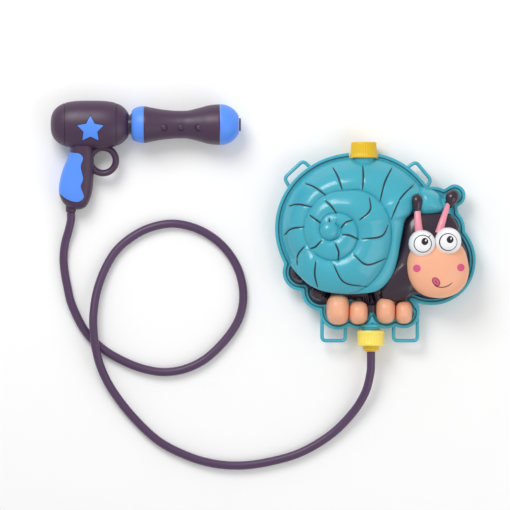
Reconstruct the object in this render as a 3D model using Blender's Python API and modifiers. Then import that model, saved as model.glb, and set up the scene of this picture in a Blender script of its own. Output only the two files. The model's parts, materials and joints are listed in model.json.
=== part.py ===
"""A child's backpack water tank shaped like a snail, its hose, and a pump-action water pistol.

Metres, +Z up. Everything lies on the plane z = 0: the tank on its flat back and the pistol on its
right side, with the barrel along +X. The origin is at the middle of the rigid pieces' footprint.
"""

from math import cos, pi, radians, sin, sqrt

import bmesh
import bpy
import numpy as np
from mathutils import Matrix, Vector
from mathutils.geometry import delaunay_2d_cdt

MM = 0.001
X, Y, Z = Vector((1, 0, 0)), Vector((0, 1, 0)), Vector((0, 0, 1))
GAP = 0.3  # mm left between neighbouring pieces
SIDES = 24
RIM_SPACING, DOME_PITCH = 8.0, 12.0
CLOSED = "MANIFOLD"  # the solver for the housing, whose many thin walls defeat EXACT

# The tank, in mm from the shell's spiral pole. Its outline is the rounded union of these discs.
TANK_AT = (83.8, -3.6, 0.0)
RIM_DISCS = {
    "shell_left": (15.6, 1.0, 85.2),
    "shell_crown": (22.0, 2.0, 88.6),
    "shell_top": (35.4, 0.0, 92.4),
    "shell_lip": (118.8, 20.4, 30.6),
    "feeler_knob": (145.2, 40.2, 13.4),
    "hood": (134.4, 1.2, 23.4),
    "head": (117.6, -37.8, 53.2),
    "foot_4": (84.6, -99.6, 19.2),
    "foot_3": (63.6, -98.4, 20.8),
    "foot_2": (30.0, -99.6, 20.0),
    "foot_1": (5.5, -98.4, 22.0),
    "tail_low": (-14.4, -74.4, 23.4),
    "tail_high": (-38.4, -51.6, 22.2),
    "belly_right": (80.4, -64.8, 25.2),
    "belly_left": (8.4, -73.2, 21.6),
    "belly_tail": (-24.0, -58.8, 19.2),
    "belly_middle": (46.8, -85.2, 21.6),
}
RIM_BLEND = 1.0
RIM_CENTRE = (32.4, -13.2)  # every ray from here meets the outline once
WALL = 2.0
PARTING = 21.2  # height of the plane where the two shells meet
FLANGE = 5.0
FLANGE_TOP = PARTING + GAP / 2 + WALL
FLANGE_UNDER = PARTING - GAP / 2 - WALL
# Raised forms of the front: centre x, y, half sizes x, y, height above the flange, fullness.
DOMES = {
    "shell": (16.0, 5.0, 76.0, 80.0, 46.0, 2.6),
    "shell_top": (58.0, 22.0, 60.0, 58.0, 30.0, 2.6),
    "head": (121.0, -36.0, 46.0, 50.0, 38.0, 2.8),
    "foot_1": (5.5, -96.0, 14.5, 19.0, 25.0, 2.6),
    "foot_2": (30.0, -98.5, 12.5, 15.5, 22.0, 2.6),
    "foot_3": (62.5, -97.5, 13.0, 17.0, 25.0, 2.6),
    "foot_4": (84.6, -98.5, 12.0, 14.5, 22.0, 2.6),
}
BODY_RISE = 15.0
LOOP_THICK = 4.4
LOOP_Z = 18.5
# Each strap loop is a bent bar whose two ends sit in the flange.
LOOPS = [
    [(-13.4, -92), (-13.4, -133.6), (14.6, -133.6), (14.6, -112)],
    [(72.4, -112), (72.4, -133.6), (100.9, -133.6), (100.9, -92)],
    [(-22, 69), (-36.2, 82.0), (-58.6, 61.2), (-47.5, 42)],
    [(82, 69), (99, 80.8), (117.5, 58.5), (106, 42)],
]
LOOP_CORNER = 5.0

FILLER_X = 36.6
NECK_Z = PARTING
NECK_R, NECK_BORE_R = 13.0, 10.5
NECK_INNER_END, NECK_MOUTH = 66.0, 100.2
CAP_FOOT, CAP_TOP = 85.6, 104.4
CAP_FOOT_R, CAP_TOP_R = 17.15, 14.8
CAP_BORE_R = NECK_R + 0.5
SEAL_THICK = 1.8

OUTLET_X = 45.2
OUTLET_R, OUTLET_BORE_R = 11.1, 6.3
SPIGOT_R, SPIGOT_END = 8.0, -111.0  # the narrower stretch that passes between the two shells
OUTLET_INNER_END, OUTLET_MOUTH = -97.0, -131.0
NUT_TOP, NUT_FOOT, NUT_R = -121.3, -139.9, 16.5
TAIL_R, TAIL_END = 10.0, -145.0
RING_R, RING_END = 6.9, -146.5

# The pistol, in mm along its barrel (u), up from it (v) and towards its left side (w).
GUN_AT = (-206.95, 121.5, 25.0)
GUN_ROLL = radians(6.6)  # brings the grip's end down to the ground
BARREL_HALF, BARREL_R = 47.6, 28.8
BARREL_FLAT = 0.85  # thickness over height
SEAM_REAR, SEAM_FRONT = -30.4, 31.2
SHELL = 2.4
# Grip sections: v, back edge, front edge, half thickness.
GRIP_SECTIONS = [
    (-20.0, -22.5, 3.6, 13.0),
    (-28.2, -23.8, 3.8, 13.5),
    (-36.5, -25.8, 4.1, 13.8),
    (-53.9, -32.9, 4.3, 14.5),
    (-67.7, -36.6, 3.5, 15.0),
    (-81.5, -37.7, 1.9, 15.0),
    (-92.3, -33.8, -1.6, 13.5),
    (-98.3, -28.0, -5.2, 10.5),
    (-101.3, -22.6, -10.0, 6.0),
]
GRIP_WALL, INLAY_DEPTH = 3.8, 1.8
INLAY = [(-12.7, -33.7), (-8.6, -39.2), (-11.3, -49.3), (-8.6, -63.5), (-11.3, -73.2),
         (-7.7, -85.1), (-11.8, -90.6), (-18.2, -91.6), (-27.4, -88.8), (-37.1, -82.3)]
INLAY_BACK = [(-46.0, -76.0), (-46.0, -32.0), (-23.8, -32.6)]
RING_AT, FINGER_R, RING_BAR = (15.2, -43.1), 11.3, 4.0
STAR_AT, STAR_R, STAR_INNER = (0.5, -3.6), 16.6, 8.6
STAR_DEPTH, STAR_PROUD = 1.6, 0.3
SCREWS = [(-20.0, 16.5), (22.0, 16.5), (-4.0, -50.0), (-8.5, -80.0)]
SCREW_R, SCREW_HEAD_R, BOSS_R = 1.4, 2.6, 3.2
FITTING_AT, FITTING_TOP, FITTING_END = -23.5, -90.0, -105.5

CYLINDER_R, CYLINDER_BORE = 11.75, 10.0
CYLINDER_REAR, CYLINDER_FRONT = 18.0, 150.0
KEY_WIDE, KEY_HIGH = 2.4, 1.2
PLUNGER_R, PLUNGER_BORE = 6.5, 4.2
PLUNGER_REAR, PLUNGER_FRONT = 38.3, 165.5
GRIP_REAR, SLEEVE_REAR, SLEEVE_FRONT = 49.3, 64.2, 155.2
SLEEVE = [(64.4, 22.3), (74, 20.3), (86, 18.2), (98, 16.9), (107, 16.6), (117, 16.9),
          (130, 20.0), (142, 23.2), (155.0, 24.5)]
SLEEVE_WALL = 2.4
NOSE_R, NOSE_LONG = 24.5, 24.6
BUMPS = [(88.0, 18.0), (108.2, 16.6), (129.8, 20.0)]
TIP_FRONT = 180.2

HOSE_R = 5.0
# Where the hose lies, world mm: out of the grip, once round under itself, and up to the tank.
HOSE_ROUTE = [
    (-233.5, -6, 9.4), (-237.5, -20, 6.4), (-239.5, -38, 5.4), (-238, -56, 5.4), (-235, -72, 5.4),
    (-231, -90, 5.4), (-224, -107, 5.4), (-216, -122, 5.4), (-205, -136, 5.4), (-187, -151, 5.4),
    (-163, -164, 5.4), (-140, -172, 5.4), (-117, -175, 5.4), (-93, -171, 5.4), (-69, -159, 5.4),
    (-46, -137, 5.4), (-30, -113, 5.4), (-24, -88, 5.4), (-27, -61, 5.4), (-38, -37, 5.4),
    (-56, -17, 5.4), (-80, -3, 5.4), (-107, 3, 5.4), (-133, -1, 5.4), (-156, -12, 5.4),
    (-176, -29, 5.8), (-190, -52, 7.4), (-199, -77, 10.4), (-203, -101, 14.2), (-203.5, -121, 16.2),
    (-201, -145, 15.4), (-194, -171, 11.8), (-180, -198, 7.6), (-156, -229, 5.6), (-125, -258, 5.4),
    (-90, -276, 5.4), (-58, -285, 5.4), (-25, -287, 5.4), (10, -282, 5.4), (46, -271, 5.4),
    (81, -250, 6.2), (107, -224, 9.2), (122, -200, 13.6), (128.2, -177, 18.4),
]
HOSE_POINTS = 78

TEAL, PURPLE, BLUE = (0.10, 0.45, 0.58), (0.115, 0.06, 0.12), (0.12, 0.33, 0.95)
HOSE_PURPLE, YELLOW, WHITE = (0.12, 0.065, 0.15), (0.95, 0.60, 0.01), (0.85, 0.85, 0.85)
DARK, STEEL = (0.03, 0.02, 0.035), (0.6, 0.6, 0.62)


# ---------------------------------------------------------------- helpers

def fresh_collection(name):
    for obj in list(bpy.data.objects):
        bpy.data.objects.remove(obj, do_unlink=True)
    collection = bpy.data.collections.new(name)
    bpy.context.scene.collection.children.link(collection)
    return collection


def material(name, colour, roughness, metallic=0.0):
    made = bpy.data.materials.new(name)
    made.use_nodes = True
    shader = made.node_tree.nodes["Principled BSDF"]
    shader.inputs["Base Color"].default_value = (*colour, 1)
    shader.inputs["Roughness"].default_value = roughness
    shader.inputs["Metallic"].default_value = metallic
    return made


def as_object(name, mesh, look=None):
    obj = bpy.data.objects.new(name, mesh)
    PARTS.objects.link(obj)
    if look:
        mesh.materials.append(look)
    return obj


def from_bmesh(name, bm, look=None):
    bmesh.ops.recalc_face_normals(bm, faces=bm.faces)
    mesh = bpy.data.meshes.new(name)
    bm.to_mesh(mesh)
    bm.free()
    mesh.shade_smooth()
    mesh.set_sharp_from_angle(angle=radians(35))
    return as_object(name, mesh, look)


def settle(obj):
    """Replaces a mesh object's data with what its modifiers make."""
    bpy.context.view_layer.update()
    graph = bpy.context.evaluated_depsgraph_get()
    mesh = bpy.data.meshes.new_from_object(obj.evaluated_get(graph))
    obj.modifiers.clear()
    obj.data = mesh
    return obj


def combine(obj, operation, *tools, keep=False, solver="EXACT"):
    """Applies one Boolean per tool, and then removes the tools unless they are kept."""
    for tool in tools:
        step = obj.modifiers.new(f"{operation} {tool.name}", "BOOLEAN")
        step.operation = operation
        step.solver = solver
        step.object = tool
        settle(obj)
        if not keep:
            bpy.data.objects.remove(tool, do_unlink=True)
    return obj


def turned(name, profile, along, at=(0, 0, 0), look=None, sides=SIDES):
    """A profile of (distance along, radius) in mm, spun about an axis.

    The profile is closed into a loop unless both its ends are on the axis.
    """
    side = Z if along != Z else X
    bm = bmesh.new()
    points = [bm.verts.new((along * u + side * r) * MM) for u, r in profile]
    edges = [bm.edges.new(pair) for pair in zip(points, points[1:])]
    if profile[0][1] > 0 or profile[-1][1] > 0:
        edges.append(bm.edges.new((points[-1], points[0])))
    bmesh.ops.spin(bm, geom=points + edges, cent=(0, 0, 0), axis=along, angle=2 * pi, steps=sides,
                   use_merge=True)
    bmesh.ops.remove_doubles(bm, verts=bm.verts, dist=1e-6)
    bmesh.ops.translate(bm, verts=bm.verts, vec=Vector(at) * MM)
    return from_bmesh(name, bm, look)


def tube_profile(start, end, outer, bore):
    return [(start, bore), (start, outer), (end, outer), (end, bore)]


def rod_profile(start, end, radius):
    return [(start, 0), (start, radius), (end, radius), (end, 0)]


def block(name, low, high):
    """A box between two corners, in mm."""
    bm = bmesh.new()
    bmesh.ops.create_cube(bm, size=1)
    size = (Vector(high) - Vector(low)) * MM
    middle = (Vector(high) + Vector(low)) / 2 * MM
    bmesh.ops.scale(bm, verts=bm.verts, vec=size)
    bmesh.ops.translate(bm, verts=bm.verts, vec=middle)
    return from_bmesh(name, bm)


def smooth_path(points, count, closed=False):
    """Evenly spaced points in metres on a Catmull-Rom curve through the points, given in mm."""
    knots = [Vector(p) * MM for p in points]
    if closed:
        knots = [knots[-1], *knots, knots[0], knots[1]]
    else:
        knots = [2 * knots[0] - knots[1], *knots, 2 * knots[-1] - knots[-2]]
    fine = []
    for a, b, c, d in zip(knots, knots[1:], knots[2:], knots[3:]):
        for step in range(24):
            t = step / 24
            bend = (2 * a - 5 * b + 4 * c - d) * t**2 + (3 * b - a - 3 * c + d) * t**3
            fine.append(0.5 * (2 * b + (c - a) * t + bend))
    fine.append(knots[-2])
    lengths = np.concatenate([[0], np.cumsum([(q - p).length for p, q in zip(fine, fine[1:])])])
    wanted = np.linspace(0, lengths[-1], count, endpoint=not closed)
    columns = [np.interp(wanted, lengths, [p[i] for p in fine]) for i in range(len(fine[0]))]
    return [Vector(p) for p in zip(*columns)]


def rounded_path(points, radius, steps=4):
    """An open path in mm with its inner corners rounded."""
    points = [Vector((*p, 0)) for p in points]
    path = [points[0]]
    for before, corner, after in zip(points, points[1:], points[2:]):
        start = corner + (before - corner).normalized() * radius
        end = corner + (after - corner).normalized() * radius
        for step in range(steps + 1):
            t = step / steps
            path.append((1 - t) ** 2 * start + 2 * t * (1 - t) * corner + t**2 * end)
    path.append(points[-1])
    return path


def round_curve(name, path, radius, resolution):
    """A curve with a round section along a path in metres."""
    curve = bpy.data.curves.new(name, "CURVE")
    curve.dimensions = "3D"
    curve.bevel_depth = radius
    curve.bevel_resolution = resolution
    curve.use_fill_caps = True
    spline = curve.splines.new("POLY")
    spline.points.add(len(path) - 1)
    for point, place in zip(spline.points, path):
        point.co = (*place, 1)
    return curve


def bar(name, path, radius, resolution, look=None):
    """A round bar along a path in metres, as a welded mesh."""
    guide = as_object(f"{name}_guide", round_curve(name, path, radius, resolution))
    bpy.context.view_layer.update()
    mesh = bpy.data.meshes.new_from_object(guide.evaluated_get(bpy.context.evaluated_depsgraph_get()))
    bpy.data.objects.remove(guide, do_unlink=True)
    bm = bmesh.new()
    bm.from_mesh(mesh)
    bmesh.ops.remove_doubles(bm, verts=bm.verts, dist=1e-6)
    return from_bmesh(name, bm, look)


def plate(name, outline, low, high):
    """A flat outline in metres, extruded in Z between two heights in mm."""
    bm = bmesh.new()
    face = bm.faces.new([bm.verts.new((p[0], p[1], low * MM)) for p in outline])
    risen = bmesh.ops.extrude_face_region(bm, geom=[face])
    moved = [v for v in risen["geom"] if isinstance(v, bmesh.types.BMVert)]
    bmesh.ops.translate(bm, verts=moved, vec=Z * (high - low) * MM)
    return from_bmesh(name, bm)


# ---------------------------------------------------------------- tank

def depth(x, y):
    """How far inside the tank's outline a point is, in mm: a rounded union of the discs."""
    reach = [r - np.hypot(x - cx, y - cy) for cx, cy, r in RIM_DISCS.values()]
    top = np.max(reach, axis=0)
    return top + RIM_BLEND * np.log(np.sum(np.exp((np.array(reach) - top) / RIM_BLEND), axis=0))


def rim_loop(inset, spacing):
    """Points in mm, about evenly spaced, where the depth is the inset."""
    angles = np.linspace(0, 2 * pi, 1440, endpoint=False)
    low, high = np.full_like(angles, 40.0), np.full_like(angles, 180.0)
    for _ in range(30):
        middle = (low + high) / 2
        x, y = middle * np.cos(angles), middle * np.sin(angles)
        inside = depth(RIM_CENTRE[0] + x, RIM_CENTRE[1] + y) > inset
        low, high = np.where(inside, middle, low), np.where(inside, high, middle)
    x = RIM_CENTRE[0] + low * np.cos(angles)
    y = RIM_CENTRE[1] + low * np.sin(angles)
    lengths = np.concatenate([[0], np.cumsum(np.hypot(np.diff(x), np.diff(y)))])
    wanted = np.linspace(0, lengths[-1], int(lengths[-1] / spacing), endpoint=False)
    return list(zip(np.interp(wanted, lengths, x), np.interp(wanted, lengths, y)))


def eased(value):
    value = np.clip(value, 0, 1)
    return value * value * (3 - 2 * value)


def front_height(x, y):
    """Height of the front's outer surface."""
    inside = depth(x, y)
    rise = BODY_RISE * eased((inside - FLANGE) / 9)
    for cx, cy, half_x, half_y, height, fullness in DOMES.values():
        out = np.hypot((x - cx) / half_x, (y - cy) / half_y)
        dome = height * np.sqrt(np.clip(1 - out**fullness, 0, 1)) * eased((inside - FLANGE) / 5)
        rise = np.maximum(rise, dome)
    return FLANGE_TOP + rise


def back_height(x, y):
    """Height of the back's outer surface: flange, sloping wall and flat panel."""
    return FLANGE_UNDER * (1 - eased((depth(x, y) - FLANGE) / 9))


def tank_sheet(name, insets, height, pitch, look):
    """A sheet over the outline, meshed between loops at the insets and a grid inside the last."""
    points, edges = [], []
    for inset in insets:
        loop = rim_loop(inset, RIM_SPACING)
        start = len(points)
        points += loop
        edges += [(start + i, start + (i + 1) % len(loop)) for i in range(len(loop))]
    if pitch:
        for step, low, high in ((pitch * 0.6, -125, -70), (pitch, -70, 100)):
            xs, ys = np.meshgrid(np.arange(-75, 180, step), np.arange(low, high, step * 0.9))
            keep = depth(xs, ys) > insets[-1] + 0.5 * step
            points += list(zip(xs[keep], ys[keep]))
    flat = [Vector((float(px), float(py))) for px, py in points]
    places, _, faces, *_ = delaunay_2d_cdt(flat, edges, [], 1, 1e-6)
    heights = height(np.array([p.x for p in places]), np.array([p.y for p in places]))
    bm = bmesh.new()
    verts = [bm.verts.new(Vector((p.x, p.y, h)) * MM) for p, h in zip(places, heights)]
    for face in faces:
        bm.faces.new([verts[i] for i in face])
    mesh = bpy.data.meshes.new(name)
    bm.to_mesh(mesh)
    bm.free()
    return as_object(name, mesh, look)


def thickened(sheet, inward_is_down):
    step = sheet.modifiers.new("wall", "SOLIDIFY")
    step.thickness = WALL * MM
    step.offset = -1 if inward_is_down else 1
    settle(sheet)
    bm = bmesh.new()
    bm.from_mesh(sheet.data)
    bmesh.ops.recalc_face_normals(bm, faces=bm.faces)
    bm.to_mesh(sheet.data)
    bm.free()
    return sheet


def neck_cutters():
    """Room for both necks and for the cap's skirt."""
    at_filler, at_outlet = (FILLER_X, 0, NECK_Z), (OUTLET_X, 0, NECK_Z)
    return [
        turned("filler_hole", rod_profile(60, 120, NECK_R + GAP), Y, at_filler),
        turned("cap_room", rod_profile(CAP_FOOT - 1, 125, 18.2), Y, at_filler),
        turned("spigot_hole", rod_profile(-93, -120, SPIGOT_R + GAP), Y, at_outlet),
        turned("outlet_room", rod_profile(SPIGOT_END + GAP, -150, OUTLET_R + GAP), Y, at_outlet),
    ]


def tank_shells(looks):
    teal = looks["teal"]
    front = tank_sheet("tank_front_shell", (0, FLANGE, 8.5), front_height, DOME_PITCH, teal)
    front = thickened(front, True)
    back = tank_sheet("tank_back_shell", (0, FLANGE, 9.5, 14.0), back_height, None, teal)
    back = thickened(back, False)
    for number, corners in enumerate(LOOPS):
        path = [Vector((p.x, p.y, LOOP_Z)) * MM for p in rounded_path(corners, LOOP_CORNER)]
        combine(back, "UNION", bar(f"loop_{number}", path, LOOP_THICK / 2 * MM, 1))
    cutters = neck_cutters()
    combine(front, "DIFFERENCE", *cutters, keep=True)
    combine(back, "DIFFERENCE", *cutters)
    return [front, back]


def filler(looks):
    """The filler's neck, screw cap and the cap's soft seal, turned about an axis along +Y."""
    at = (FILLER_X, 0, NECK_Z)
    neck = [(NECK_INNER_END, NECK_BORE_R), (NECK_INNER_END, 15.0), (NECK_INNER_END + 2.4, 15.0),
            (NECK_INNER_END + 2.4, NECK_R), (NECK_MOUTH, NECK_R), (NECK_MOUTH, NECK_BORE_R)]
    seal_foot = NECK_MOUTH + GAP
    ceiling = seal_foot + SEAL_THICK + GAP
    cap = [(ceiling, 0), (ceiling, CAP_BORE_R), (CAP_FOOT, CAP_BORE_R), (CAP_FOOT, CAP_FOOT_R),
           (CAP_FOOT + 2.2, CAP_FOOT_R - 0.9), (CAP_TOP - 1.0, CAP_TOP_R), (CAP_TOP, CAP_TOP_R - 1.0),
           (CAP_TOP, 0)]
    seal_top, seal_r = seal_foot + SEAL_THICK, NECK_R - 0.2
    seal = [(seal_foot, 0), (seal_foot, seal_r), (seal_top, seal_r), (seal_top, 0)]
    return [
        turned("filler_neck", neck, Y, at, looks["teal"]),
        turned("filler_cap", cap, Y, at, looks["yellow"], 28),
        turned("filler_cap_seal", seal, Y, at, looks["rubber"]),
    ]


def outlet(looks):
    """The outlet's neck, strainer, seal, nut, slip ring and hose tail, turned about an axis along Y."""
    at = (OUTLET_X, 0, NECK_Z)
    neck = [(OUTLET_INNER_END, OUTLET_BORE_R), (OUTLET_INNER_END, SPIGOT_R), (SPIGOT_END, SPIGOT_R),
            (SPIGOT_END, OUTLET_R), (OUTLET_MOUTH, OUTLET_R), (OUTLET_MOUTH, OUTLET_BORE_R)]
    seal_end = OUTLET_MOUTH - GAP - 1.5
    flange_end = seal_end - GAP - 2.2
    washer_end = flange_end - GAP - 1.0
    floor = washer_end - GAP
    nut = [(NUT_TOP, 12.6), (NUT_TOP, NUT_R - 0.8), (NUT_TOP - 0.8, NUT_R), (NUT_FOOT + 1.6, NUT_R),
           (NUT_FOOT, NUT_R - 1.6), (NUT_FOOT, TAIL_R + 0.4), (floor, TAIL_R + 0.4), (floor, 12.6)]
    tail = [(seal_end - GAP, 3.0), (seal_end - GAP, 11.8), (flange_end, 11.8), (flange_end, TAIL_R),
            (TAIL_END, TAIL_R), (TAIL_END, RING_R), (RING_END, RING_R), (RING_END, 3.0)]
    seal = tube_profile(OUTLET_MOUTH - GAP, seal_end, 10.8, 8.0)
    washer = tube_profile(flange_end - GAP, washer_end, 12.2, TAIL_R + 0.4)
    strainer = [(-112, 5.2), (-112, 6.0), (-101, 6.0), (-101, 1.2), (-102, 1.2), (-102, 5.2)]
    return [
        turned("outlet_neck", neck, Y, at, looks["teal"]),
        turned("outlet_strainer", strainer, Y, at, looks["white"], 20),
        turned("outlet_seal", seal, Y, at, looks["rubber"], 20),
        turned("nut_washer", washer, Y, at, looks["white"], 20),
        turned("outlet_nut", nut, Y, at, looks["yellow"], 28),
        turned("hose_tail", tail, Y, at, looks["yellow"]),
    ]


# ---------------------------------------------------------------- pistol, fixed part

def barrel_radius(u, inset=0.0):
    """Half height of the barrel housing: a long rounded barrel."""
    half, radius = BARREL_HALF - inset, BARREL_R - inset
    return radius * (1 - min(1.0, abs(u) / half) ** 3.2) ** (1 / 2.6)


def stations(start, end, count):
    """Positions that crowd towards the barrel's ends, where it curves most."""
    return [start + (end - start) * sin(step / count * pi / 2) for step in range(count + 1)]


def flattened(obj):
    obj.data.transform(Matrix.Diagonal((1, 1, BARREL_FLAT, 1)))
    return obj


def barrel_form(name, inset, start=None, end=None):
    """The solid form of the housing, closed at the seams given."""
    half = BARREL_HALF - inset
    start = -half if start is None else start
    end = half if end is None else end
    rear = stations(min(0, end), start, 5)[::-1] if start < 0 else [start]
    front = stations(max(0, start), end, 5) if end > 0 else [end]
    places = sorted(set(round(u, 6) for u in rear + front))
    profile = [(u, barrel_radius(u, inset)) for u in places]
    if profile[0][1] > 0.5:
        profile.insert(0, (places[0], 0))
    if profile[-1][1] > 0.5:
        profile.append((places[-1], 0))
    profile = [(u, 0.0 if r < 0.5 else r) for u, r in profile]
    return flattened(turned(name, profile, X))


def grip_form(name, inset, top=None):
    """The grip as a loft of rounded sections, shrunk by the inset."""
    around = 20
    bm = bmesh.new()
    rings = []
    sections = list(GRIP_SECTIONS)
    if top is not None:
        sections[0] = (top, *sections[0][1:])
    for v, back, front, thick in sections:
        if v < GRIP_SECTIONS[-1][0] + inset:
            continue
        half = max((front - back) / 2 - inset, 1.0)
        deep = max(thick - inset, 1.0)
        ring = []
        for step in range(around):
            angle = 2 * pi * (step + 0.37) / around
            c, s = cos(angle), sin(angle)
            u = (back + front) / 2 + half * abs(c) ** 0.8 * (1 if c > 0 else -1)
            w = deep * abs(s) ** 0.8 * (1 if s > 0 else -1)
            ring.append(bm.verts.new(Vector((u, v, w)) * MM))
        rings.append(ring)
    for upper, lower in zip(rings, rings[1:]):
        for i in range(around):
            j = (i + 1) % around
            bm.faces.new((upper[i], upper[j], lower[j], lower[i]))
    bm.faces.new(rings[0])
    bm.faces.new(rings[-1])
    return from_bmesh(name, bm)


def star_outline(radius, inner):
    """Five points, the first straight up."""
    corners = []
    for step in range(10):
        angle = pi / 2 + step * pi / 5
        reach = radius if step % 2 == 0 else inner
        corners.append(Vector((STAR_AT[0] + reach * cos(angle), STAR_AT[1] + reach * sin(angle))) * MM)
    return corners


def inlay_outline(grow=0.0):
    """The wavy front edge is a smooth curve; the back lies outside the grip."""
    wavy = smooth_path([(-18.5, -32.8), *INLAY], 34)
    outline = wavy + [Vector(p) * MM for p in INLAY_BACK]
    if not grow:
        return outline
    middle = Vector((-26, -62)) * MM
    return [p + (p - middle).normalized() * grow * MM for p in outline]


def finger_ring():
    bm = bmesh.new()
    major, around, small = FINGER_R + RING_BAR, 22, 8
    rings = []
    for step in range(around):
        angle = 2 * pi * step / around
        out = Vector((cos(angle), sin(angle), 0))
        ring = []
        for turn in range(small):
            t = 2 * pi * (turn + 0.5) / small
            place = Vector((*RING_AT, 0)) + out * (major + RING_BAR * cos(t)) + Z * 5.0 * sin(t)
            ring.append(bm.verts.new(place * MM))
        rings.append(ring)
    for i in range(around):
        for j in range(small):
            nearby, after = (i + 1) % around, (j + 1) % small
            bm.faces.new((rings[i][j], rings[nearby][j], rings[nearby][after], rings[i][after]))
    return from_bmesh("finger_ring", bm)


def screw_seat(v):
    """How far from the seam a screw's head sits: the barrel is thicker than the grip."""
    return -13.0 if v > 0 else -10.0


def housing(looks):
    """Both halves of the barrel's middle section with the grip and the finger ring."""
    whole = barrel_form("housing", 0.0, SEAM_REAR + GAP / 2, SEAM_FRONT - GAP / 2)
    combine(whole, "UNION", grip_form("grip", 0.0), finger_ring(), solver=CLOSED)
    hollow = barrel_form("core", SHELL)
    combine(hollow, "UNION", grip_form("grip_core", GRIP_WALL, -10.0), solver=CLOSED)
    combine(whole, "DIFFERENCE", hollow, solver=CLOSED)
    for number, (u, v) in enumerate(SCREWS):
        reach = 17.0 if v > 0 else 12.5
        at = (u, v, 0)
        post = turned(f"post_{number}", rod_profile(-reach, reach, BOSS_R), Z, at, sides=10)
        combine(whole, "UNION", post, solver=CLOSED)
        hole = turned(f"hole_{number}", rod_profile(-18.6, 9, SCREW_R + 0.2), Z, at, sides=10)
        seat = rod_profile(-30, screw_seat(v), SCREW_HEAD_R + 0.3)
        seat = turned(f"seat_{number}", seat, Z, at, sides=10)
        combine(whole, "DIFFERENCE", hole, seat, solver=CLOSED)
    recess = plate("recess", star_outline(STAR_R + 0.6, STAR_INNER + 0.4), -40, 40)
    combine(recess, "DIFFERENCE", barrel_form("star_floor", STAR_DEPTH + 0.3), solver=CLOSED)
    layer = plate("layer", inlay_outline(0.35), -30, 30)
    combine(layer, "DIFFERENCE", grip_form("inlay_floor", INLAY_DEPTH + 0.3, -10.0), solver=CLOSED)
    combine(whole, "DIFFERENCE", recess, layer, solver=CLOSED)
    socket = turned("socket", rod_profile(-86, -112, 6.6), Y, (FITTING_AT, 0, 0), sides=20)
    combine(whole, "DIFFERENCE", socket, solver=CLOSED)
    pieces = []
    for name, low, high in (("housing_left", GAP / 2, 60), ("housing_right", -60, -GAP / 2)):
        half = as_object(name, whole.data.copy(), looks["purple"])
        combine(half, "INTERSECT", block("side", (-80, -150, low), (80, 80, high)), solver=CLOSED)
        pieces.append(half)
    bpy.data.objects.remove(whole, do_unlink=True)
    return pieces


def barrel_caps(looks):
    """The barrel's rounded ends, past the two seams; the pump cylinder passes through the front one."""
    rear = barrel_form("rear_cap", 0.0, end=SEAM_REAR - GAP / 2)
    front = barrel_form("front_cap", 0.0, start=SEAM_FRONT + GAP / 2)
    for cap, look in ((rear, looks["purple"]), (front, looks["purple"])):
        combine(cap, "DIFFERENCE", barrel_form("cap_core", SHELL))
        cap.data.materials.clear()
        cap.data.materials.append(look)
    bore = [(25, 0), (25, CYLINDER_R + 0.35), (60, CYLINDER_R + 0.35), (60, 0)]
    combine(front, "DIFFERENCE", turned("bore", bore, X))
    return [rear, front]


def badges_and_inlays(looks):
    pieces = []
    for side, low, high in (("left", GAP / 2, 60), ("right", -60, -GAP / 2)):
        star = plate(f"star_badge_{side}", star_outline(STAR_R, STAR_INNER), low, high)
        combine(star, "INTERSECT", barrel_form("proud", -STAR_PROUD))
        combine(star, "DIFFERENCE", barrel_form("under", STAR_DEPTH))
        inlay = plate(f"grip_inlay_{side}", inlay_outline(), low, high)
        combine(inlay, "INTERSECT", grip_form("skin", 0.0))
        combine(inlay, "DIFFERENCE", grip_form("under", INLAY_DEPTH, -10.0))
        for piece in (star, inlay):
            piece.data.materials.clear()
            piece.data.materials.append(looks["blue"])
            pieces.append(piece)
    return pieces


def screws(looks):
    pieces = []
    for number, (u, v) in enumerate(SCREWS):
        seat = screw_seat(v)
        profile = [(7.0, 0), (7.0, SCREW_R), (seat - GAP, SCREW_R), (seat - GAP, SCREW_HEAD_R),
                   (seat - 1.6, SCREW_HEAD_R), (seat - 2.2, 1.4), (seat - 2.2, 0)]
        pieces.append(turned(f"housing_screw_{number + 1}", profile, Z, (u, v, 0), looks["steel"], 10))
    return pieces


def water_way(looks):
    """Hose fitting, feed tube and inlet valve inside the grip and the barrel."""
    fitting = [(FITTING_TOP, 1.8), (FITTING_TOP, 3.0), (-95, 3.0), (-95, 6.2), (-104.2, 6.2),
               (FITTING_END, 5.4), (FITTING_END, 1.8)]
    route = [(-23.5, -89.6, 0), (-21.8, -78, 0), (-18.4, -62, 0), (-15, -48, 0), (-12, -32, 0),
             (-9.6, -17, 0), (-6.4, -6.5, 0), (-1.2, -1.0, 0), (5.6, 0, 0)]
    feed = bar("feed_tube", smooth_path(route, 20), 4.0 * MM, 2, looks["white"])
    body = [(6, 2.4), (6, 8.0), (8.5, 11.0), (17.7, 11.0), (17.7, 5.2), (10, 5.2), (10, 2.4)]
    return [
        turned("grip_hose_fitting", fitting, Y, (FITTING_AT, 0, 0), looks["purple"], 20),
        feed,
        turned("inlet_valve_body", body, X, (0, 0, 0), looks["white"], 20),
        turned("inlet_valve_ball", ball_profile(12.6, 3.3), X, (0, 0, 0), looks["steel"], 16),
    ]


def ball_profile(centre, radius):
    """A half circle from pole to pole, for a ball on the axis."""
    angles = [step * pi / 6 for step in range(1, 6)]
    side = [(centre - radius * cos(a), radius * sin(a)) for a in angles]
    return [(centre - radius, 0), *side, (centre + radius, 0)]


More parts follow.
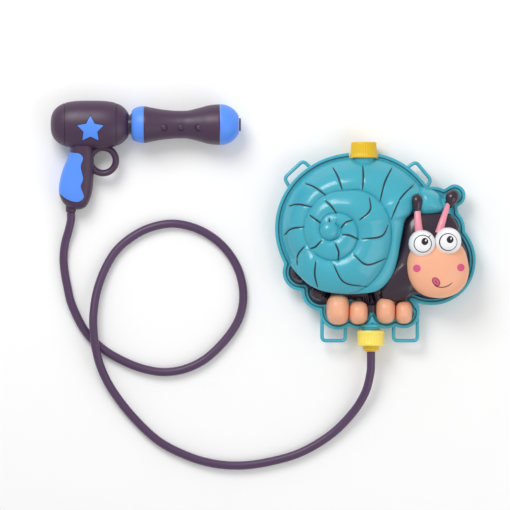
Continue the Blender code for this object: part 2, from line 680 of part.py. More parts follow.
def pump(looks):
    """The fixed cylinder, with its key along the top, and its front gland."""
    profile = [(CYLINDER_REAR, CYLINDER_BORE), (CYLINDER_REAR, 12.9), (CYLINDER_REAR + 2.6, 12.9),
               (CYLINDER_REAR + 2.6, CYLINDER_R), (CYLINDER_FRONT, CYLINDER_R),
               (CYLINDER_FRONT, CYLINDER_BORE)]
    cylinder = turned("pump_cylinder", profile, X, look=looks["dark"])
    key = block("key", (48.2, CYLINDER_R - 1.0, -KEY_WIDE / 2),
                (CYLINDER_FRONT - 2, CYLINDER_R + KEY_HIGH, KEY_WIDE / 2))
    combine(cylinder, "UNION", key)
    gland_rim = CYLINDER_FRONT + GAP
    gland = [(146.5, 6.9), (146.5, 9.6), (gland_rim, 9.6), (gland_rim, CYLINDER_R), (154.5, CYLINDER_R),
             (154.5, 6.9)]
    retainer = tube_profile(CYLINDER_REAR + GAP, 20.4, 9.6, 2.2)
    return [
        cylinder,
        turned("cylinder_gland", gland, X, look=looks["white"], sides=20),
        turned("inlet_valve_retainer", retainer, X, look=looks["white"], sides=20),
    ]


# ---------------------------------------------------------------- pistol, sliding part

def foregrip(looks):
    """The handle that slides on the cylinder: waisted sleeve, two blue ends and the nozzle tip."""
    inner = [(u, r - SLEEVE_WALL) for u, r in SLEEVE]
    sleeve = turned("foregrip_sleeve", SLEEVE + inner[::-1], X, look=looks["purple"])
    for number, (u, height) in enumerate(BUMPS):
        dome = [(height + 1.2, 0), (height + 0.9, 2.2), (height - 0.2, 3.8), (height - 1.6, 3.8),
                (height - 1.6, 0)]
        combine(sleeve, "UNION", turned(f"bump_{number}", dome, Z, (u, -1.8, 0), sides=12))
    outer = [(GRIP_REAR, 12.3), (GRIP_REAR, 14.4)]
    for angle in np.linspace(0.25, pi / 2, 4):
        outer.append((GRIP_REAR + 14.7 * (1 - cos(angle)), 14.4 + 7.8 * sin(angle) ** 0.9))
    rear = outer + [(SLEEVE_REAR - 0.2, 19.5), (SLEEVE_REAR + 5, 18.2), (SLEEVE_REAR + 5, 16.6),
                    (60, 17.6), (52.5, 14.0), (52.5, 12.3)]
    rear_cap = turned("foregrip_rear_cap", rear, X, look=looks["blue"])
    notch = block("notch", (40, 8, -KEY_WIDE / 2 - 0.3),
                  (58, CYLINDER_R + KEY_HIGH + 0.4, KEY_WIDE / 2 + 0.3))
    combine(rear_cap, "DIFFERENCE", notch)
    return [sleeve, rear_cap]


def nose(looks):
    """The rounded front end, with its socket for the plunger tube, and the nozzle tip."""
    base = SLEEVE_FRONT + 0.2
    front = 177.6
    angles = np.linspace(0, pi / 2, 7)
    outer = [(base + NOSE_LONG * sin(a), NOSE_R * cos(a)) for a in angles]
    outer = [(u, r) for u, r in outer if u < front]
    edge = NOSE_R * sqrt(1 - ((front - base) / NOSE_LONG) ** 2)
    long, round_r = NOSE_LONG - SLEEVE_WALL, NOSE_R - SLEEVE_WALL
    inner = [(base + long * sin(a), round_r * cos(a)) for a in np.linspace(0, 1.02, 4)]
    profile = outer + [(front, edge), (front, 4.6), (168.4, 4.6), (168.4, 6.8), (158, 6.8), (158, 9.4),
                       (171, 9.4)]
    profile += inner[::-1] + [(base - 0.4, 21.8), (150.5, 21.5), (150.5, 19.9), (base + 1.5, 20.2)]
    tip = [(178.0, 1.3), (178.0, 8.0), (179.4, 8.0), (TIP_FRONT, 7.2), (TIP_FRONT, 2.4), (179.2, 1.3)]
    return [
        turned("foregrip_nose_cap", profile, X, look=looks["blue"]),
        turned("nozzle_tip", tip, X, look=looks["dark"], sides=20),
    ]


def plunger(looks):
    """The hollow plunger with its piston head and ring, and the outlet valve in front of it."""
    tube = tube_profile(PLUNGER_REAR, PLUNGER_FRONT, PLUNGER_R, PLUNGER_BORE)
    head = [(30, PLUNGER_BORE), (30, 9.6), (33, 9.6), (33, 7.4), (35.6, 7.4), (35.6, 9.6), (44, 9.6),
            (44, 6.8), (38, 6.8), (38, PLUNGER_BORE)]
    ring = [(34.3 + 1.1 * cos(a), 8.7 + 1.1 * sin(a)) for a in np.linspace(0, 2 * pi, 8, endpoint=False)]
    turns, start, end = 3, 174.0, 177.3
    coil = []
    for step in range(turns * 8 + 1):
        angle = 2 * pi * step / 8
        u = start + (end - start) * step / (turns * 8)
        coil.append(Vector((u, 2.6 * cos(angle), 2.6 * sin(angle))) * MM)
    return [
        turned("plunger_tube", tube, X, look=looks["white"], sides=20),
        turned("piston_head", head, X, look=looks["white"], sides=20),
        turned("piston_ring", ring, X, look=looks["rubber"], sides=20),
        turned("outlet_valve_seat", tube_profile(165.9, 168.0, 6.4, 2.0), X, look=looks["rubber"], sides=20),
        turned("outlet_valve_ball", ball_profile(170.4, 2.7), X, look=looks["steel"], sides=12),
        bar("outlet_valve_spring", coil, 0.25 * MM, 0, looks["steel"]),
    ]


# ---------------------------------------------------------------- hose

def hose(looks, exit_place, exit_way):
    """One tube from the grip's fitting to the tank's hose tail."""
    first = [exit_place, exit_place + exit_way * 9]
    end = Vector(TANK_AT) + Vector((OUTLET_X, RING_END - GAP, NECK_Z))
    route = first + [Vector(p) for p in HOSE_ROUTE] + [end - Y * 12, end]
    tube = round_curve("hose", smooth_path(route, HOSE_POINTS), HOSE_R * MM, 2)
    return as_object("hose", tube, looks["hose"])


def empty(name, place):
    made = bpy.data.objects.new(name, None)
    made.location = Vector(place) * MM
    PARTS.objects.link(made)
    return made


def mount(pieces, frame):
    for piece in pieces:
        piece.parent = frame


def build():
    looks = {
        "teal": material("teal_tank", TEAL, 0.22),
        "purple": material("purple_pistol", PURPLE, 0.45),
        "blue": material("blue_trim", BLUE, 0.4),
        "hose": material("purple_hose", HOSE_PURPLE, 0.5),
        "yellow": material("yellow_cap", YELLOW, 0.35),
        "white": material("natural_plastic", WHITE, 0.5),
        "rubber": material("black_rubber", DARK, 0.7),
        "dark": material("dark_cylinder", DARK, 0.35),
        "steel": material("steel", STEEL, 0.3, 1.0),
    }
    tank = empty("tank_frame", TANK_AT)
    mount(tank_shells(looks) + filler(looks) + outlet(looks), tank)
    gun = empty("pistol_frame", GUN_AT)
    gun.rotation_euler.x = GUN_ROLL
    handle = empty("foregrip_slide", (0, 0, 0))
    handle.parent = gun
    mount(housing(looks) + barrel_caps(looks) + badges_and_inlays(looks) + screws(looks), gun)
    mount(water_way(looks) + pump(looks), gun)
    mount(foregrip(looks) + nose(looks) + plunger(looks), handle)
    roll = Matrix.Rotation(GUN_ROLL, 3, "X")
    exit_place = Vector(GUN_AT) + roll @ Vector((FITTING_AT, FITTING_END - 2 * GAP, 0))
    hose(looks, exit_place, roll @ Vector((0, -1, 0)))


PARTS = fresh_collection("snail_water_tank_and_pistol")
build()
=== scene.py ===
"""Looks for the snail-shaped water tank, its hose and the pump pistol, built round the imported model.

Shapes are worked out in mm, in the tank's own plane (from the shell's spiral pole) or along the pistol
(u along the barrel, v up from it, w towards its left side), and placed in metres in the frame.
"""

import json
from math import cos, pi, radians, sin, sqrt

import bmesh
import bpy
import numpy as np
from mathutils import Matrix, Vector


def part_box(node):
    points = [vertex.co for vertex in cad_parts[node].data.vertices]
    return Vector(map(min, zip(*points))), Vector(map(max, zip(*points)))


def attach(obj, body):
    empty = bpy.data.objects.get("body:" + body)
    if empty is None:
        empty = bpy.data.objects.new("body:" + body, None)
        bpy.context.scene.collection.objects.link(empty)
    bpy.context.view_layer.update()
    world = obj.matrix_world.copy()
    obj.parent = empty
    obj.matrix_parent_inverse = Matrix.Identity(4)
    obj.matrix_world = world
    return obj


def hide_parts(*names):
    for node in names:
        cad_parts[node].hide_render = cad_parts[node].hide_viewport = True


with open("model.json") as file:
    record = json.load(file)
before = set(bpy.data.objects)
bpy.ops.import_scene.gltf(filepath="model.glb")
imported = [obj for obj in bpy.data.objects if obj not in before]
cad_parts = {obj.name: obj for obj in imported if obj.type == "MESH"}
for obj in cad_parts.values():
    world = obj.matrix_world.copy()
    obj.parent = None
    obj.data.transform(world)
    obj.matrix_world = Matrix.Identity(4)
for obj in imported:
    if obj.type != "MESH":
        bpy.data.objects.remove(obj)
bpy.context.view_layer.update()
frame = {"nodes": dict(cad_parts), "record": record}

MM = 0.001
X, Y, Z = Vector((1, 0, 0)), Vector((0, 1, 0)), Vector((0, 0, 1))

# ---------------------------------------------------------------- where the model's parts are

CAP_LOW, CAP_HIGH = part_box("filler_cap")
TIP_LOW, TIP_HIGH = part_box("nozzle_tip")
FILLER_X, OUTLET_X = 36.6, 45.2
CAP_TOP, TIP_FRONT = 104.4, 180.2
GUN_ROLL = radians(6.6)
POLE = Vector(((CAP_LOW.x + CAP_HIGH.x) / 2 - FILLER_X * MM, CAP_HIGH.y - CAP_TOP * MM, 0))
TIP_MIDDLE = (TIP_LOW + TIP_HIGH) / 2
GUN_AT = Vector((TIP_HIGH.x - TIP_FRONT * MM, TIP_MIDDLE.y, TIP_MIDDLE.z))
UNPLACED = Matrix.Identity(4)
ON_TANK = Matrix.Translation(POLE)
ON_GUN = Matrix.Translation(GUN_AT) @ Matrix.Rotation(GUN_ROLL, 4, "X")

# ---------------------------------------------------------------- the tank's outline and levels

RIM_DISCS = {
    "shell_left": (15.6, 1.0, 85.2),
    "shell_crown": (22.0, 2.0, 88.6),
    "shell_top": (35.4, 0.0, 92.4),
    "shell_lip": (118.8, 20.4, 30.6),
    "feeler_knob": (145.2, 40.2, 13.4),
    "hood": (134.4, 1.2, 23.4),
    "head": (117.6, -37.8, 53.2),
    "foot_4": (84.6, -99.6, 19.2),
    "foot_3": (63.6, -98.4, 20.8),
    "foot_2": (30.0, -99.6, 20.0),
    "foot_1": (5.5, -98.4, 22.0),
    "tail_low": (-14.4, -74.4, 23.4),
    "tail_high": (-38.4, -51.6, 22.2),
    "belly_right": (80.4, -64.8, 25.2),
    "belly_left": (8.4, -73.2, 21.6),
    "belly_tail": (-24.0, -58.8, 19.2),
    "belly_middle": (46.8, -85.2, 21.6),
}
RIM_CENTRE = (32.4, -13.2)
RIM_RAYS = 1000
PARTING = 21.2  # height of the necks' axis
LIP_PROFILE = [(7.6, 21.4), (0.4, 21.4), (0.0, 21.8), (0.0, 22.7), (0.2, 23.15), (0.7, 23.35), (3.0, 23.35),
               (3.5, 23.2), (3.8, 22.7), (4.9, 22.6), (5.2, 22.3), (5.4, 21.7), (7.6, 21.6)]
# The dark strip in the rim's groove, painted shade: inset and height.
RIM_GROOVE_SHADE = [(3.6, 22.0), (3.6, 22.75), (4.7, 22.75), (4.7, 22.0)]
SHELL_INSET = 6.6  # from the rim's edge to the foot of the moulded forms
BODY_TOP = 35.5
TEAL_ABOVE = 14.0  # over this line the low body is teal
BACK_PROFILE = [(0.4, 21.0), (0.0, 20.6), (0.0, 19.7), (0.3, 19.2), (0.8, 19.05), (4.4, 19.05), (5.2, 18.7),
                (5.8, 17.6), (7.2, 12.6), (9.4, 6.6), (11.6, 2.6), (13.2, 0.8), (14.8, 0.1), (16.4, 0.0),
                (19.0, 0.0), (19.6, 0.5), (20.6, 0.8), (21.8, 0.8)]
LOOP_R, LOOP_Z, LOOP_CORNER = 2.2, 18.5, 5.0
LOOPS = [
    [(-13.4, -92), (-13.4, -133.6), (14.6, -133.6), (14.6, -112)],
    [(72.4, -112), (72.4, -133.6), (100.9, -133.6), (100.9, -92)],
    [(-22, 69), (-36.2, 82.0), (-58.6, 61.2), (-47.5, 42)],
    [(82, 69), (99, 80.8), (117.5, 58.5), (106, 42)],
]

# The suture of the shell's spiral: degrees clockwise from SPIRAL_START, and distance from the pole.
SPIRAL_START = 74.7
SUTURE = [(-360, 5.0), (-250, 9.5), (-170, 13.6), (-110, 15.8), (-60, 18.2), (0, 20.0), (84, 29.6),
          (157, 37.0), (200, 36.8), (247, 35.5), (300, 37.5), (357, 47.0), (381, 57.0), (404, 64.5),
          (425, 68.0), (438, 69.7), (461, 72.4), (483, 76.9), (500, 79.6), (515, 79.4)]
SUTURE_END = 515
# The shell's free edge over the body: direction from the pole in degrees, and distance.
LIP_EDGE = [(-150, 68.0), (-139, 67.5), (-126, 69.5), (-114, 72.5), (-104, 74.5), (-94, 76.0),
            (-84, 77.8), (-69, 82.7), (-54, 90.5), (-40, 89.7), (-24, 84.3), (-10, 81.7), (6, 85.2),
            (11.5, 94.3), (17, 105.0), (23, 117.0)]
SHELL_CROWN, FREE_EDGE_Z, FOOT_Z = 61.0, 43.0, 22.0  # FOOT_Z is where moulded forms leave the rim
LINE_DEPTH = 0.9
# Growth lines, each an arc from its outer end through its middle to its inner end.
GROWTH_LINES = [
    [(-0.9, 74.3), (5.5, 61.9), (10.5, 46.7)],
    [(35.1, 76.4), (35.6, 62.8), (34.7, 46.7)],
    [(70.7, 74.3), (61.0, 55.1), (55.6, 32.7)],
    [(97.2, 54.3), (79.7, 35.6), (68.7, 11.0)],
    [(-34.0, 54.8), (-21.3, 49.2), (-8.2, 39.5)],
    [(-53.9, 27.5), (-41.7, 29.3), (-26.0, 26.6)],
    [(-59.1, -8.0), (-50.1, 0.0), (-35.2, 2.5)],
    [(-43.3, -43.6), (-42.2, -31.0), (-34.3, -20.4)],
    [(-18.7, -69.9), (-22.1, -54.3), (-21.3, -38.2)],
    [(39.8, -68.8), (12.5, -63.0), (-0.9, -40.8)],
    [(-10.2, 34.4), (-2.6, 27.1), (3.7, 18.3)],
    [(42.9, 38.2), (43.2, 22.0), (30.5, 10.2)],
    [(65.6, 5.4), (56.8, -8.5), (33.0, -12.2)],
    [(62.7, -35.3), (39.8, -42.4), (24.2, -30.6)],
    [(-28.9, 17.0), (-22.0, 12.0), (-15.3, 7.1)],
    [(22.8, 10.7), (14.4, 7.6), (8.4, 0.5)],
    [(30.0, -12.7), (19.4, -7.7), (9.8, -6.5)],
    [(5.5, -37.7), (5.9, -27.2), (2.0, -17.0)],
    [(-28.1, -23.4), (-21.3, -21.2), (-14.2, -13.3)],
]
APEX_LINE = [(-5.2, 12.2), (-3.5, 4.2), (2.0, 0.5)]

# ---------------------------------------------------------------- the pistol's sizes

BARREL_HALF, BARREL_R, BARREL_FLAT = 47.6, 28.8, 0.85
SEAM_REAR, SEAM_FRONT = -30.4, 31.2
# The grip from top to bottom: v, back edge, front edge and half thickness.
GRIP_SECTIONS = [
    (-20.0, -22.5, 3.6, 13.0), (-28.2, -23.8, 3.8, 13.5), (-36.5, -25.8, 4.1, 13.8),
    (-53.9, -32.9, 4.3, 14.5), (-67.7, -36.6, 3.5, 15.0), (-81.5, -37.7, 1.9, 15.0),
    (-92.3, -33.8, -1.6, 13.5), (-98.3, -28.0, -5.2, 10.5), (-101.3, -22.6, -10.0, 6.0),
    (-101.8, -19.0, -14.0, 2.0),
]
INLAY = [(-18.5, -32.8), (-12.7, -33.7), (-8.6, -39.2), (-11.3, -49.3), (-8.6, -63.5), (-11.3, -73.2),
         (-7.7, -85.1), (-11.8, -90.6), (-18.2, -91.6), (-27.4, -88.8), (-37.1, -82.3)]
INLAY_BACK = [(-46.0, -76.0), (-46.0, -32.0), (-23.8, -32.6)]
RING_AT, FINGER_R, RING_BAR = (15.2, -43.1), 11.3, 4.0
STAR_AT, STAR_R, STAR_INNER = (0.5, -3.6), 16.6, 8.6
SLEEVE = [(64.4, 22.3), (74, 20.3), (86, 18.2), (98, 16.9), (107, 16.6), (117, 16.9), (130, 20.0),
          (142, 23.2), (155.0, 24.5)]
SLEEVE_WALL = 2.4
BUMPS = [(88.0, 18.0), (108.2, 16.6), (129.8, 20.0)]
# A bump's dome: height over the sleeve, and radius.
BUMP_DOME = [(-2.5, 0), (-2.5, 5.3), (-0.5, 5.2), (-0.1, 4.8), (-0.1, 4.5), (-0.9, 3.8), (0.4, 3.3),
             (1.1, 2.4), (1.5, 1.2), (1.6, 0)]
# Each screw's place, and the level of its head's seat on the right side.
SCREW_SEATS = [(-20.0, 16.5, -13.0), (22.0, 16.5, -13.0), (-4.0, -50.0, -10.0), (-8.5, -80.0, -10.0)]
SCREW_SEAT_R = 2.9
FITTING_AT, FITTING_END = -23.5, -105.5
NOSE_BASE, NOSE_R, NOSE_LONG, NOSE_FRONT = 155.4, 24.5, 24.6, 177.6

# ---------------------------------------------------------------- the hose's route, as in the model, in mm

HOSE_R, HOSE_POINTS = 5.0, 320
HOSE_ROUTE = [
    (-233.5, -6, 9.4), (-237.5, -20, 6.4), (-239.5, -38, 5.4), (-238, -56, 5.4), (-235, -72, 5.4),
    (-231, -90, 5.4), (-224, -107, 5.4), (-216, -122, 5.4), (-205, -136, 5.4), (-187, -151, 5.4),
    (-163, -164, 5.4), (-140, -172, 5.4), (-117, -175, 5.4), (-93, -171, 5.4), (-69, -159, 5.4),
    (-46, -137, 5.4), (-30, -113, 5.4), (-24, -88, 5.4), (-27, -61, 5.4), (-38, -37, 5.4),
    (-56, -17, 5.4), (-80, -3, 5.4), (-107, 3, 5.4), (-133, -1, 5.4), (-156, -12, 5.4),
    (-176, -29, 5.8), (-190, -52, 7.4), (-199, -77, 10.4), (-203, -101, 14.2), (-203.5, -121, 16.2),
    (-201, -145, 15.4), (-194, -171, 11.8), (-180, -198, 7.6), (-156, -229, 5.6), (-125, -258, 5.4),
    (-90, -276, 5.4), (-58, -285, 5.4), (-25, -287, 5.4), (10, -282, 5.4), (46, -271, 5.4),
    (81, -250, 6.2), (107, -224, 9.2), (122, -200, 13.6), (128.2, -177, 18.4),
]

# ---------------------------------------------------------------- helpers


def spline(knots, count, closed=False):
    """Evenly spaced points on a Catmull-Rom curve through the knots, of any dimension."""
    knots = np.array(knots, float)
    if closed:
        knots = np.vstack([knots[-1:], knots, knots[:2]])
    else:
        knots = np.vstack([2 * knots[0] - knots[1], knots, 2 * knots[-1] - knots[-2]])
    t = np.linspace(0, 1, 40, endpoint=False)[:, None]
    runs = []
    for a, b, c, d in zip(knots, knots[1:], knots[2:], knots[3:]):
        runs.append(0.5 * (2 * b + (c - a) * t + (2 * a - 5 * b + 4 * c - d) * t**2
                           + (3 * b - a - 3 * c + d) * t**3))
    fine = np.vstack(runs + [knots[-2:-1]])
    along = np.concatenate([[0], np.cumsum(np.linalg.norm(np.diff(fine, axis=0), axis=1))])
    wanted = np.linspace(0, along[-1], count, endpoint=not closed)
    return np.stack([np.interp(wanted, along, column) for column in fine.T], axis=1)


def piece(name, points, faces, place, look, angle=40):
    """A mesh object from points in mm, placed by a matrix, with smooth shading up to the angle."""
    mesh = bpy.data.meshes.new(name)
    mesh.from_pydata([tuple(p) for p in np.asarray(points) * MM], [], faces)
    mesh.transform(place)
    bm = bmesh.new()
    bm.from_mesh(mesh)
    bmesh.ops.remove_doubles(bm, verts=bm.verts, dist=1e-7)
    bmesh.ops.recalc_face_normals(bm, faces=bm.faces)
    bm.to_mesh(mesh)
    bm.free()
    mesh.shade_smooth()
    mesh.set_sharp_from_angle(angle=radians(angle))
    if look:
        mesh.materials.append(LOOKS[look])
    obj = bpy.data.objects.new(name, mesh)
    bpy.context.scene.collection.objects.link(obj)
    return obj


def rings_to_faces(count, around, wrap=False):
    """Quads between rings of equal size, one after another; wrap joins the last to the first."""
    faces = []
    for i in range(count if wrap else count - 1):
        low, high = i * around, (i + 1) % count * around
        for j in range(around):
            k = (j + 1) % around
            faces.append((low + j, low + k, high + k, high + j))
    return faces


def lofted(name, rings, place, look, angle=40, capped=True, wrap=False):
    """A skin over a list of closed rings, closed by a face at each end."""
    around = len(rings[0])
    faces = rings_to_faces(len(rings), around, wrap)
    if capped and not wrap:
        faces.append(tuple(range(around)))
        last = (len(rings) - 1) * around
        faces.append(tuple(range(last, last + around)))
    return piece(name, np.vstack(rings), faces, place, look, angle)


def turned(name, profile, along, place, look, at=(0, 0, 0), sides=96, flutes=None, angle=40):
    """A profile of (distance along, radius) in mm, spun about an axis.

    flutes is (count, depth, start, end): the skin between start and end is grooved lengthwise.
    """
    side = Z if along != Z else X
    across = along.cross(side)
    angles = np.linspace(0, 2 * pi, sides, endpoint=False)
    ring = np.outer(np.cos(angles), side) + np.outer(np.sin(angles), across)
    rings = []
    for distance, radius in profile:
        reach = np.full(sides, max(radius, 0.001))
        widest = max(r for _, r in profile)
        if flutes and flutes[2] <= abs(distance) <= flutes[3] and radius > 0.9 * widest - 2:
            reach = reach - flutes[1] * (0.5 + 0.5 * np.cos(angles * flutes[0])) ** 2
        rings.append(ring * reach[:, None] + np.outer(np.ones(sides), along * distance) + np.array(at))
    closed = profile[0][1] == 0 and profile[-1][1] == 0
    return lofted(name, rings, place, look, angle, capped=closed, wrap=not closed)


def swept(name, path, wide, high, look, sides=16):
    """A soft bar along a path in mm that lies in the tank's plane, with half widths and half heights."""
    path = np.array(path, float)
    way = np.gradient(path, axis=0)
    flat = np.stack([-way[:, 1], way[:, 0], np.zeros(len(path))], axis=1)
    flat /= np.linalg.norm(flat, axis=1)[:, None]
    wide = np.broadcast_to(wide, len(path))
    high = np.broadcast_to(high, len(path))
    rings = []
    for centre, across, half_wide, half_high in zip(path, flat, wide, high):
        turn = np.linspace(0, 2 * pi, sides, endpoint=False)[:, None]
        rings.append(centre + np.cos(turn) * across * half_wide
                     + np.sin(turn) * np.array([0, 0, 1]) * half_high)
    return lofted(name, rings, ON_TANK, look)


def rounded_ends(count, radius, end=0.35):
    """Half widths along a bar, with both ends rounded off."""
    along = np.linspace(0, 1, count)
    near = np.minimum(along, 1 - along) / end
    return radius * np.sqrt(np.clip(1 - (1 - np.clip(near, 0, 1)) ** 2, 0.0004, 1))


def oval(centre, half_x, half_y, power=2.0, tilt=0.0, count=96):
    angles = np.linspace(0, 2 * pi, count, endpoint=False)
    c, s = np.cos(angles), np.sin(angles)
    x = half_x * np.sign(c) * np.abs(c) ** (2 / power)
    y = half_y * np.sign(s) * np.abs(s) ** (2 / power)
    turn = radians(tilt)
    return np.stack([centre[0] + x * cos(turn) - y * sin(turn),
                     centre[1] + x * sin(turn) + y * cos(turn)], axis=1)


class Mound:
    """A moulded form that rises from a flat outline: its height falls from the top to the base."""

    def __init__(self, outline, top, base, centre=None, fullness=2.4, roundness=2.0):
        self.outline = np.array(outline, float)
        self.centre = np.array(centre if centre is not None else self.outline.mean(axis=0), float)
        self.top, self.base = top, base
        self.fullness, self.roundness = fullness, roundness
        out = self.outline - self.centre
        turn = np.arctan2(out[:, 1], out[:, 0])
        order = np.argsort(turn)
        self.turns, self.reach = turn[order], np.linalg.norm(out, axis=1)[order]

    def profile(self, out):
        fall = np.clip(1 - np.clip(out, 0, 1) ** self.fullness, 0, 1) ** (1 / self.roundness)
        return self.base + (self.top - self.base) * fall

    def height(self, x, y):
        """The height of its skin over a point."""
        dx, dy = np.asarray(x) - self.centre[0], np.asarray(y) - self.centre[1]
        edge = np.interp(np.arctan2(dy, dx), self.turns, self.reach, period=2 * pi)
        return self.profile(np.hypot(dx, dy) / edge)

    def make(self, name, look, rings=22, skirt=6.0):
        levels = [np.c_[self.outline, np.full(len(self.outline), self.base - skirt)]]
        for turn in np.linspace(0, pi / 2, rings, endpoint=False):
            out = cos(turn)
            ring = self.centre + (self.outline - self.centre) * out
            levels.append(np.c_[ring, np.full(len(ring), float(self.profile(np.array(out))))])
        ring = self.centre + (self.outline - self.centre) * 0.004
        levels.append(np.c_[ring, np.full(len(ring), self.top)])
        return lofted(name, levels, ON_TANK, look)


def patch(name, outline, skin, lift, look, rings=6, sink=0.5):
    """A thin inlay that follows a skin below it."""
    outline = np.array(outline, float)
    centre = outline.mean(axis=0)
    levels = [np.c_[outline, skin(*outline.T) - sink]]
    for out in (1.0, 0.985, 0.95, *np.linspace(0.85, 0.02, rings)):
        ring = centre + (outline - centre) * out
        rise = lift * (1 - out**12) ** 0.5
        levels.append(np.c_[ring, skin(*ring.T) + rise])
    return lofted(name, levels, ON_TANK, look, angle=60)


def stroke(name, points, half_wide, skin, look, taper=0.35, count=40, high=0.22):
    """A thin line drawn over a skin, narrowing towards its ends."""
    line = spline(points, count)
    path = np.c_[line, skin(*line.T) + 0.02]
    wide = rounded_ends(count, half_wide, taper)
    return swept(name, path, wide, np.full(count, high), look, sides=8)


def settle(obj):
    """Applies the modifiers to the mesh."""
    bpy.context.view_layer.update()
    mesh = bpy.data.meshes.new_from_object(obj.evaluated_get(bpy.context.evaluated_depsgraph_get()))
    obj.modifiers.clear()
    obj.data = mesh
    return obj


def combine(obj, operation, *tools, keep=False):
    for tool in tools:
        step = obj.modifiers.new(operation, "BOOLEAN")
        step.operation = operation
        step.solver = "EXACT"
        step.object = tool
        settle(obj)
        if not keep:
            bpy.data.objects.remove(tool, do_unlink=True)
    obj.data.set_sharp_from_angle(angle=radians(40))
    return obj


def soften(obj, width, segments=2, angle=45):
    """Rounds the sharp edges of a piece that Booleans made."""
    step = obj.modifiers.new("soften", "BEVEL")
    step.width = width * MM
    step.segments = segments
    step.limit_method = "ANGLE"
    step.angle_limit = radians(angle)
    step.use_clamp_overlap = True
    settle(obj)
    obj.data.set_sharp_from_angle(angle=radians(50))
    return obj


def join(name, pieces):
    """Joins pieces that share one material into one object."""
    bm = bmesh.new()
    for obj in pieces:
        bm.from_mesh(obj.data)
    mesh = bpy.data.meshes.new(name)
    bm.to_mesh(mesh)
    bm.free()
    mesh.materials.append(pieces[0].data.materials[0])
    for obj in pieces:
        bpy.data.objects.remove(obj, do_unlink=True)
    obj = bpy.data.objects.new(name, mesh)
    bpy.context.scene.collection.objects.link(obj)
    return obj


def settle_in(pieces, stands_for=(), body="root"):
    """Each piece rides its body, in place of the nodes that it stands for."""
    for obj in pieces:
        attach(obj, body)
        if stands_for:
            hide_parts(*stands_for)


# ---------------------------------------------------------------- materials


def linear(display):
    """Linear light from display values of 0 to 255."""
    return tuple((c / 255 / 12.92) if c / 255 <= 0.04045 else ((c / 255 + 0.055) / 1.055) ** 2.4
                 for c in display)


CLOUD_SCALE = 22.0


def plastic(name, colour, roughness, coat=0.0, vary=0.05, grain=1500.0, bump=0.05, metallic=0.0):
    """Moulded plastic: faint clouds of colour and gloss, and a fine mould grain."""
    made = bpy.data.materials.new(name)
    made.use_nodes = True
    nodes, link = made.node_tree.nodes, made.node_tree.links.new
    shader = nodes["Principled BSDF"]
    where = nodes.new("ShaderNodeTexCoord")
    noises = []
    for scale, detail in ((CLOUD_SCALE, 4), (grain, 3)):
        noise = nodes.new("ShaderNodeTexNoise")
        noise.inputs["Scale"].default_value = scale
        noise.inputs["Detail"].default_value = detail
        link(where.outputs["Object"], noise.inputs["Vector"])
        noises.append(noise.outputs["Fac"])
    clouds, fine = noises
    ramp = nodes.new("ShaderNodeValToRGB")
    for element, place, factor in zip(ramp.color_ramp.elements, (0.3, 0.7), (1 - vary, 1 + vary)):
        element.position = place
        element.color = (*(min(1.0, c * factor) for c in linear(colour)), 1)
    link(clouds, ramp.inputs["Fac"])
    link(ramp.outputs["Color"], shader.inputs["Base Color"])
    gloss = nodes.new("ShaderNodeMapRange")
    gloss.inputs["To Min"].default_value = roughness * 0.85
    gloss.inputs["To Max"].default_value = min(1.0, roughness * 1.2)
    link(fine, gloss.inputs["Value"])
    link(gloss.outputs["Result"], shader.inputs["Roughness"])
    skin = nodes.new("ShaderNodeBump")
    skin.inputs["Strength"].default_value = bump
    skin.inputs["Distance"].default_value = 0.0004
    link(fine, skin.inputs["Height"])
    link(skin.outputs["Normal"], shader.inputs["Normal"])
    for socket, value in (("Coat Weight", coat), ("Coat Roughness", 0.12), ("Metallic", metallic)):
        shader.inputs[socket].default_value = value
    return made


LOOKS = {
    "teal": plastic("teal_tank", (62, 170, 190), 0.26, coat=0.25, vary=0.04),
    # Dark strips in the grooves of the rim and of the growth lines: painted shade.
    "teal_dark": plastic("painted_groove_shade", (12, 50, 60), 0.45, bump=0.02),
    "body": plastic("body_paint", (44, 24, 42), 0.24, coat=0.3, vary=0.08),
    "peach": plastic("skin_paint", (243, 176, 140), 0.4, coat=0.1, vary=0.03),
    "pink": plastic("stalk_paint", (240, 150, 168), 0.35, coat=0.2, vary=0.04),
    "cheek": plastic("cheek_paint", (216, 84, 130), 0.45, vary=0.05),
    "ink": plastic("ink_paint", (24, 16, 20), 0.35, vary=0.1),
    "mouth": plastic("mouth_paint", (110, 44, 52), 0.45, vary=0.05),
    "eye": plastic("eye_paint", (244, 244, 246), 0.25, coat=0.4, vary=0.01),
    "purple": plastic("pistol_plastic", (68, 44, 71), 0.4, vary=0.05, bump=0.1),
    "seam": plastic("seam_shadow", (46, 30, 48), 0.6, vary=0.05),
    "blue": plastic("trim_plastic", (84, 144, 246), 0.42, vary=0.03, bump=0.08),
    "hose": plastic("hose_vinyl", (80, 54, 88), 0.38, vary=0.06, bump=0.08),
    "yellow": plastic("cap_plastic", (230, 188, 2), 0.3, coat=0.2, vary=0.04),
    # Yellow nut plastic, made paler than the cap's to stand in for its reflection: painted sheen.
    "pale_yellow": plastic("nut_plastic_painted_sheen", (250, 226, 96), 0.3, coat=0.3, vary=0.05),
    "rubber": plastic("black_rubber", (30, 30, 32), 0.7, bump=0.15),
    "white": plastic("natural_plastic", (226, 226, 220), 0.45, vary=0.02),
    "dark": plastic("cylinder_plastic", (46, 32, 50), 0.3, coat=0.2),
    "steel": plastic("steel", (190, 190, 194), 0.28, metallic=1.0, vary=0.02),
    "floor": plastic("floor_paper", (250, 250, 250), 0.9, vary=0.004, bump=0.03, grain=300.0),
}


def dress_frame_nodes():
    """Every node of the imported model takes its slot's material."""
    slots = {part["node"]: part["material_slot"] for part in frame["record"]["subparts"]}
    for name, node in frame["nodes"].items():
        node.data.materials.clear()
        node.data.materials.append(LOOKS[slots[name]])
        node.data.shade_smooth()


# ---------------------------------------------------------------- camera and hose


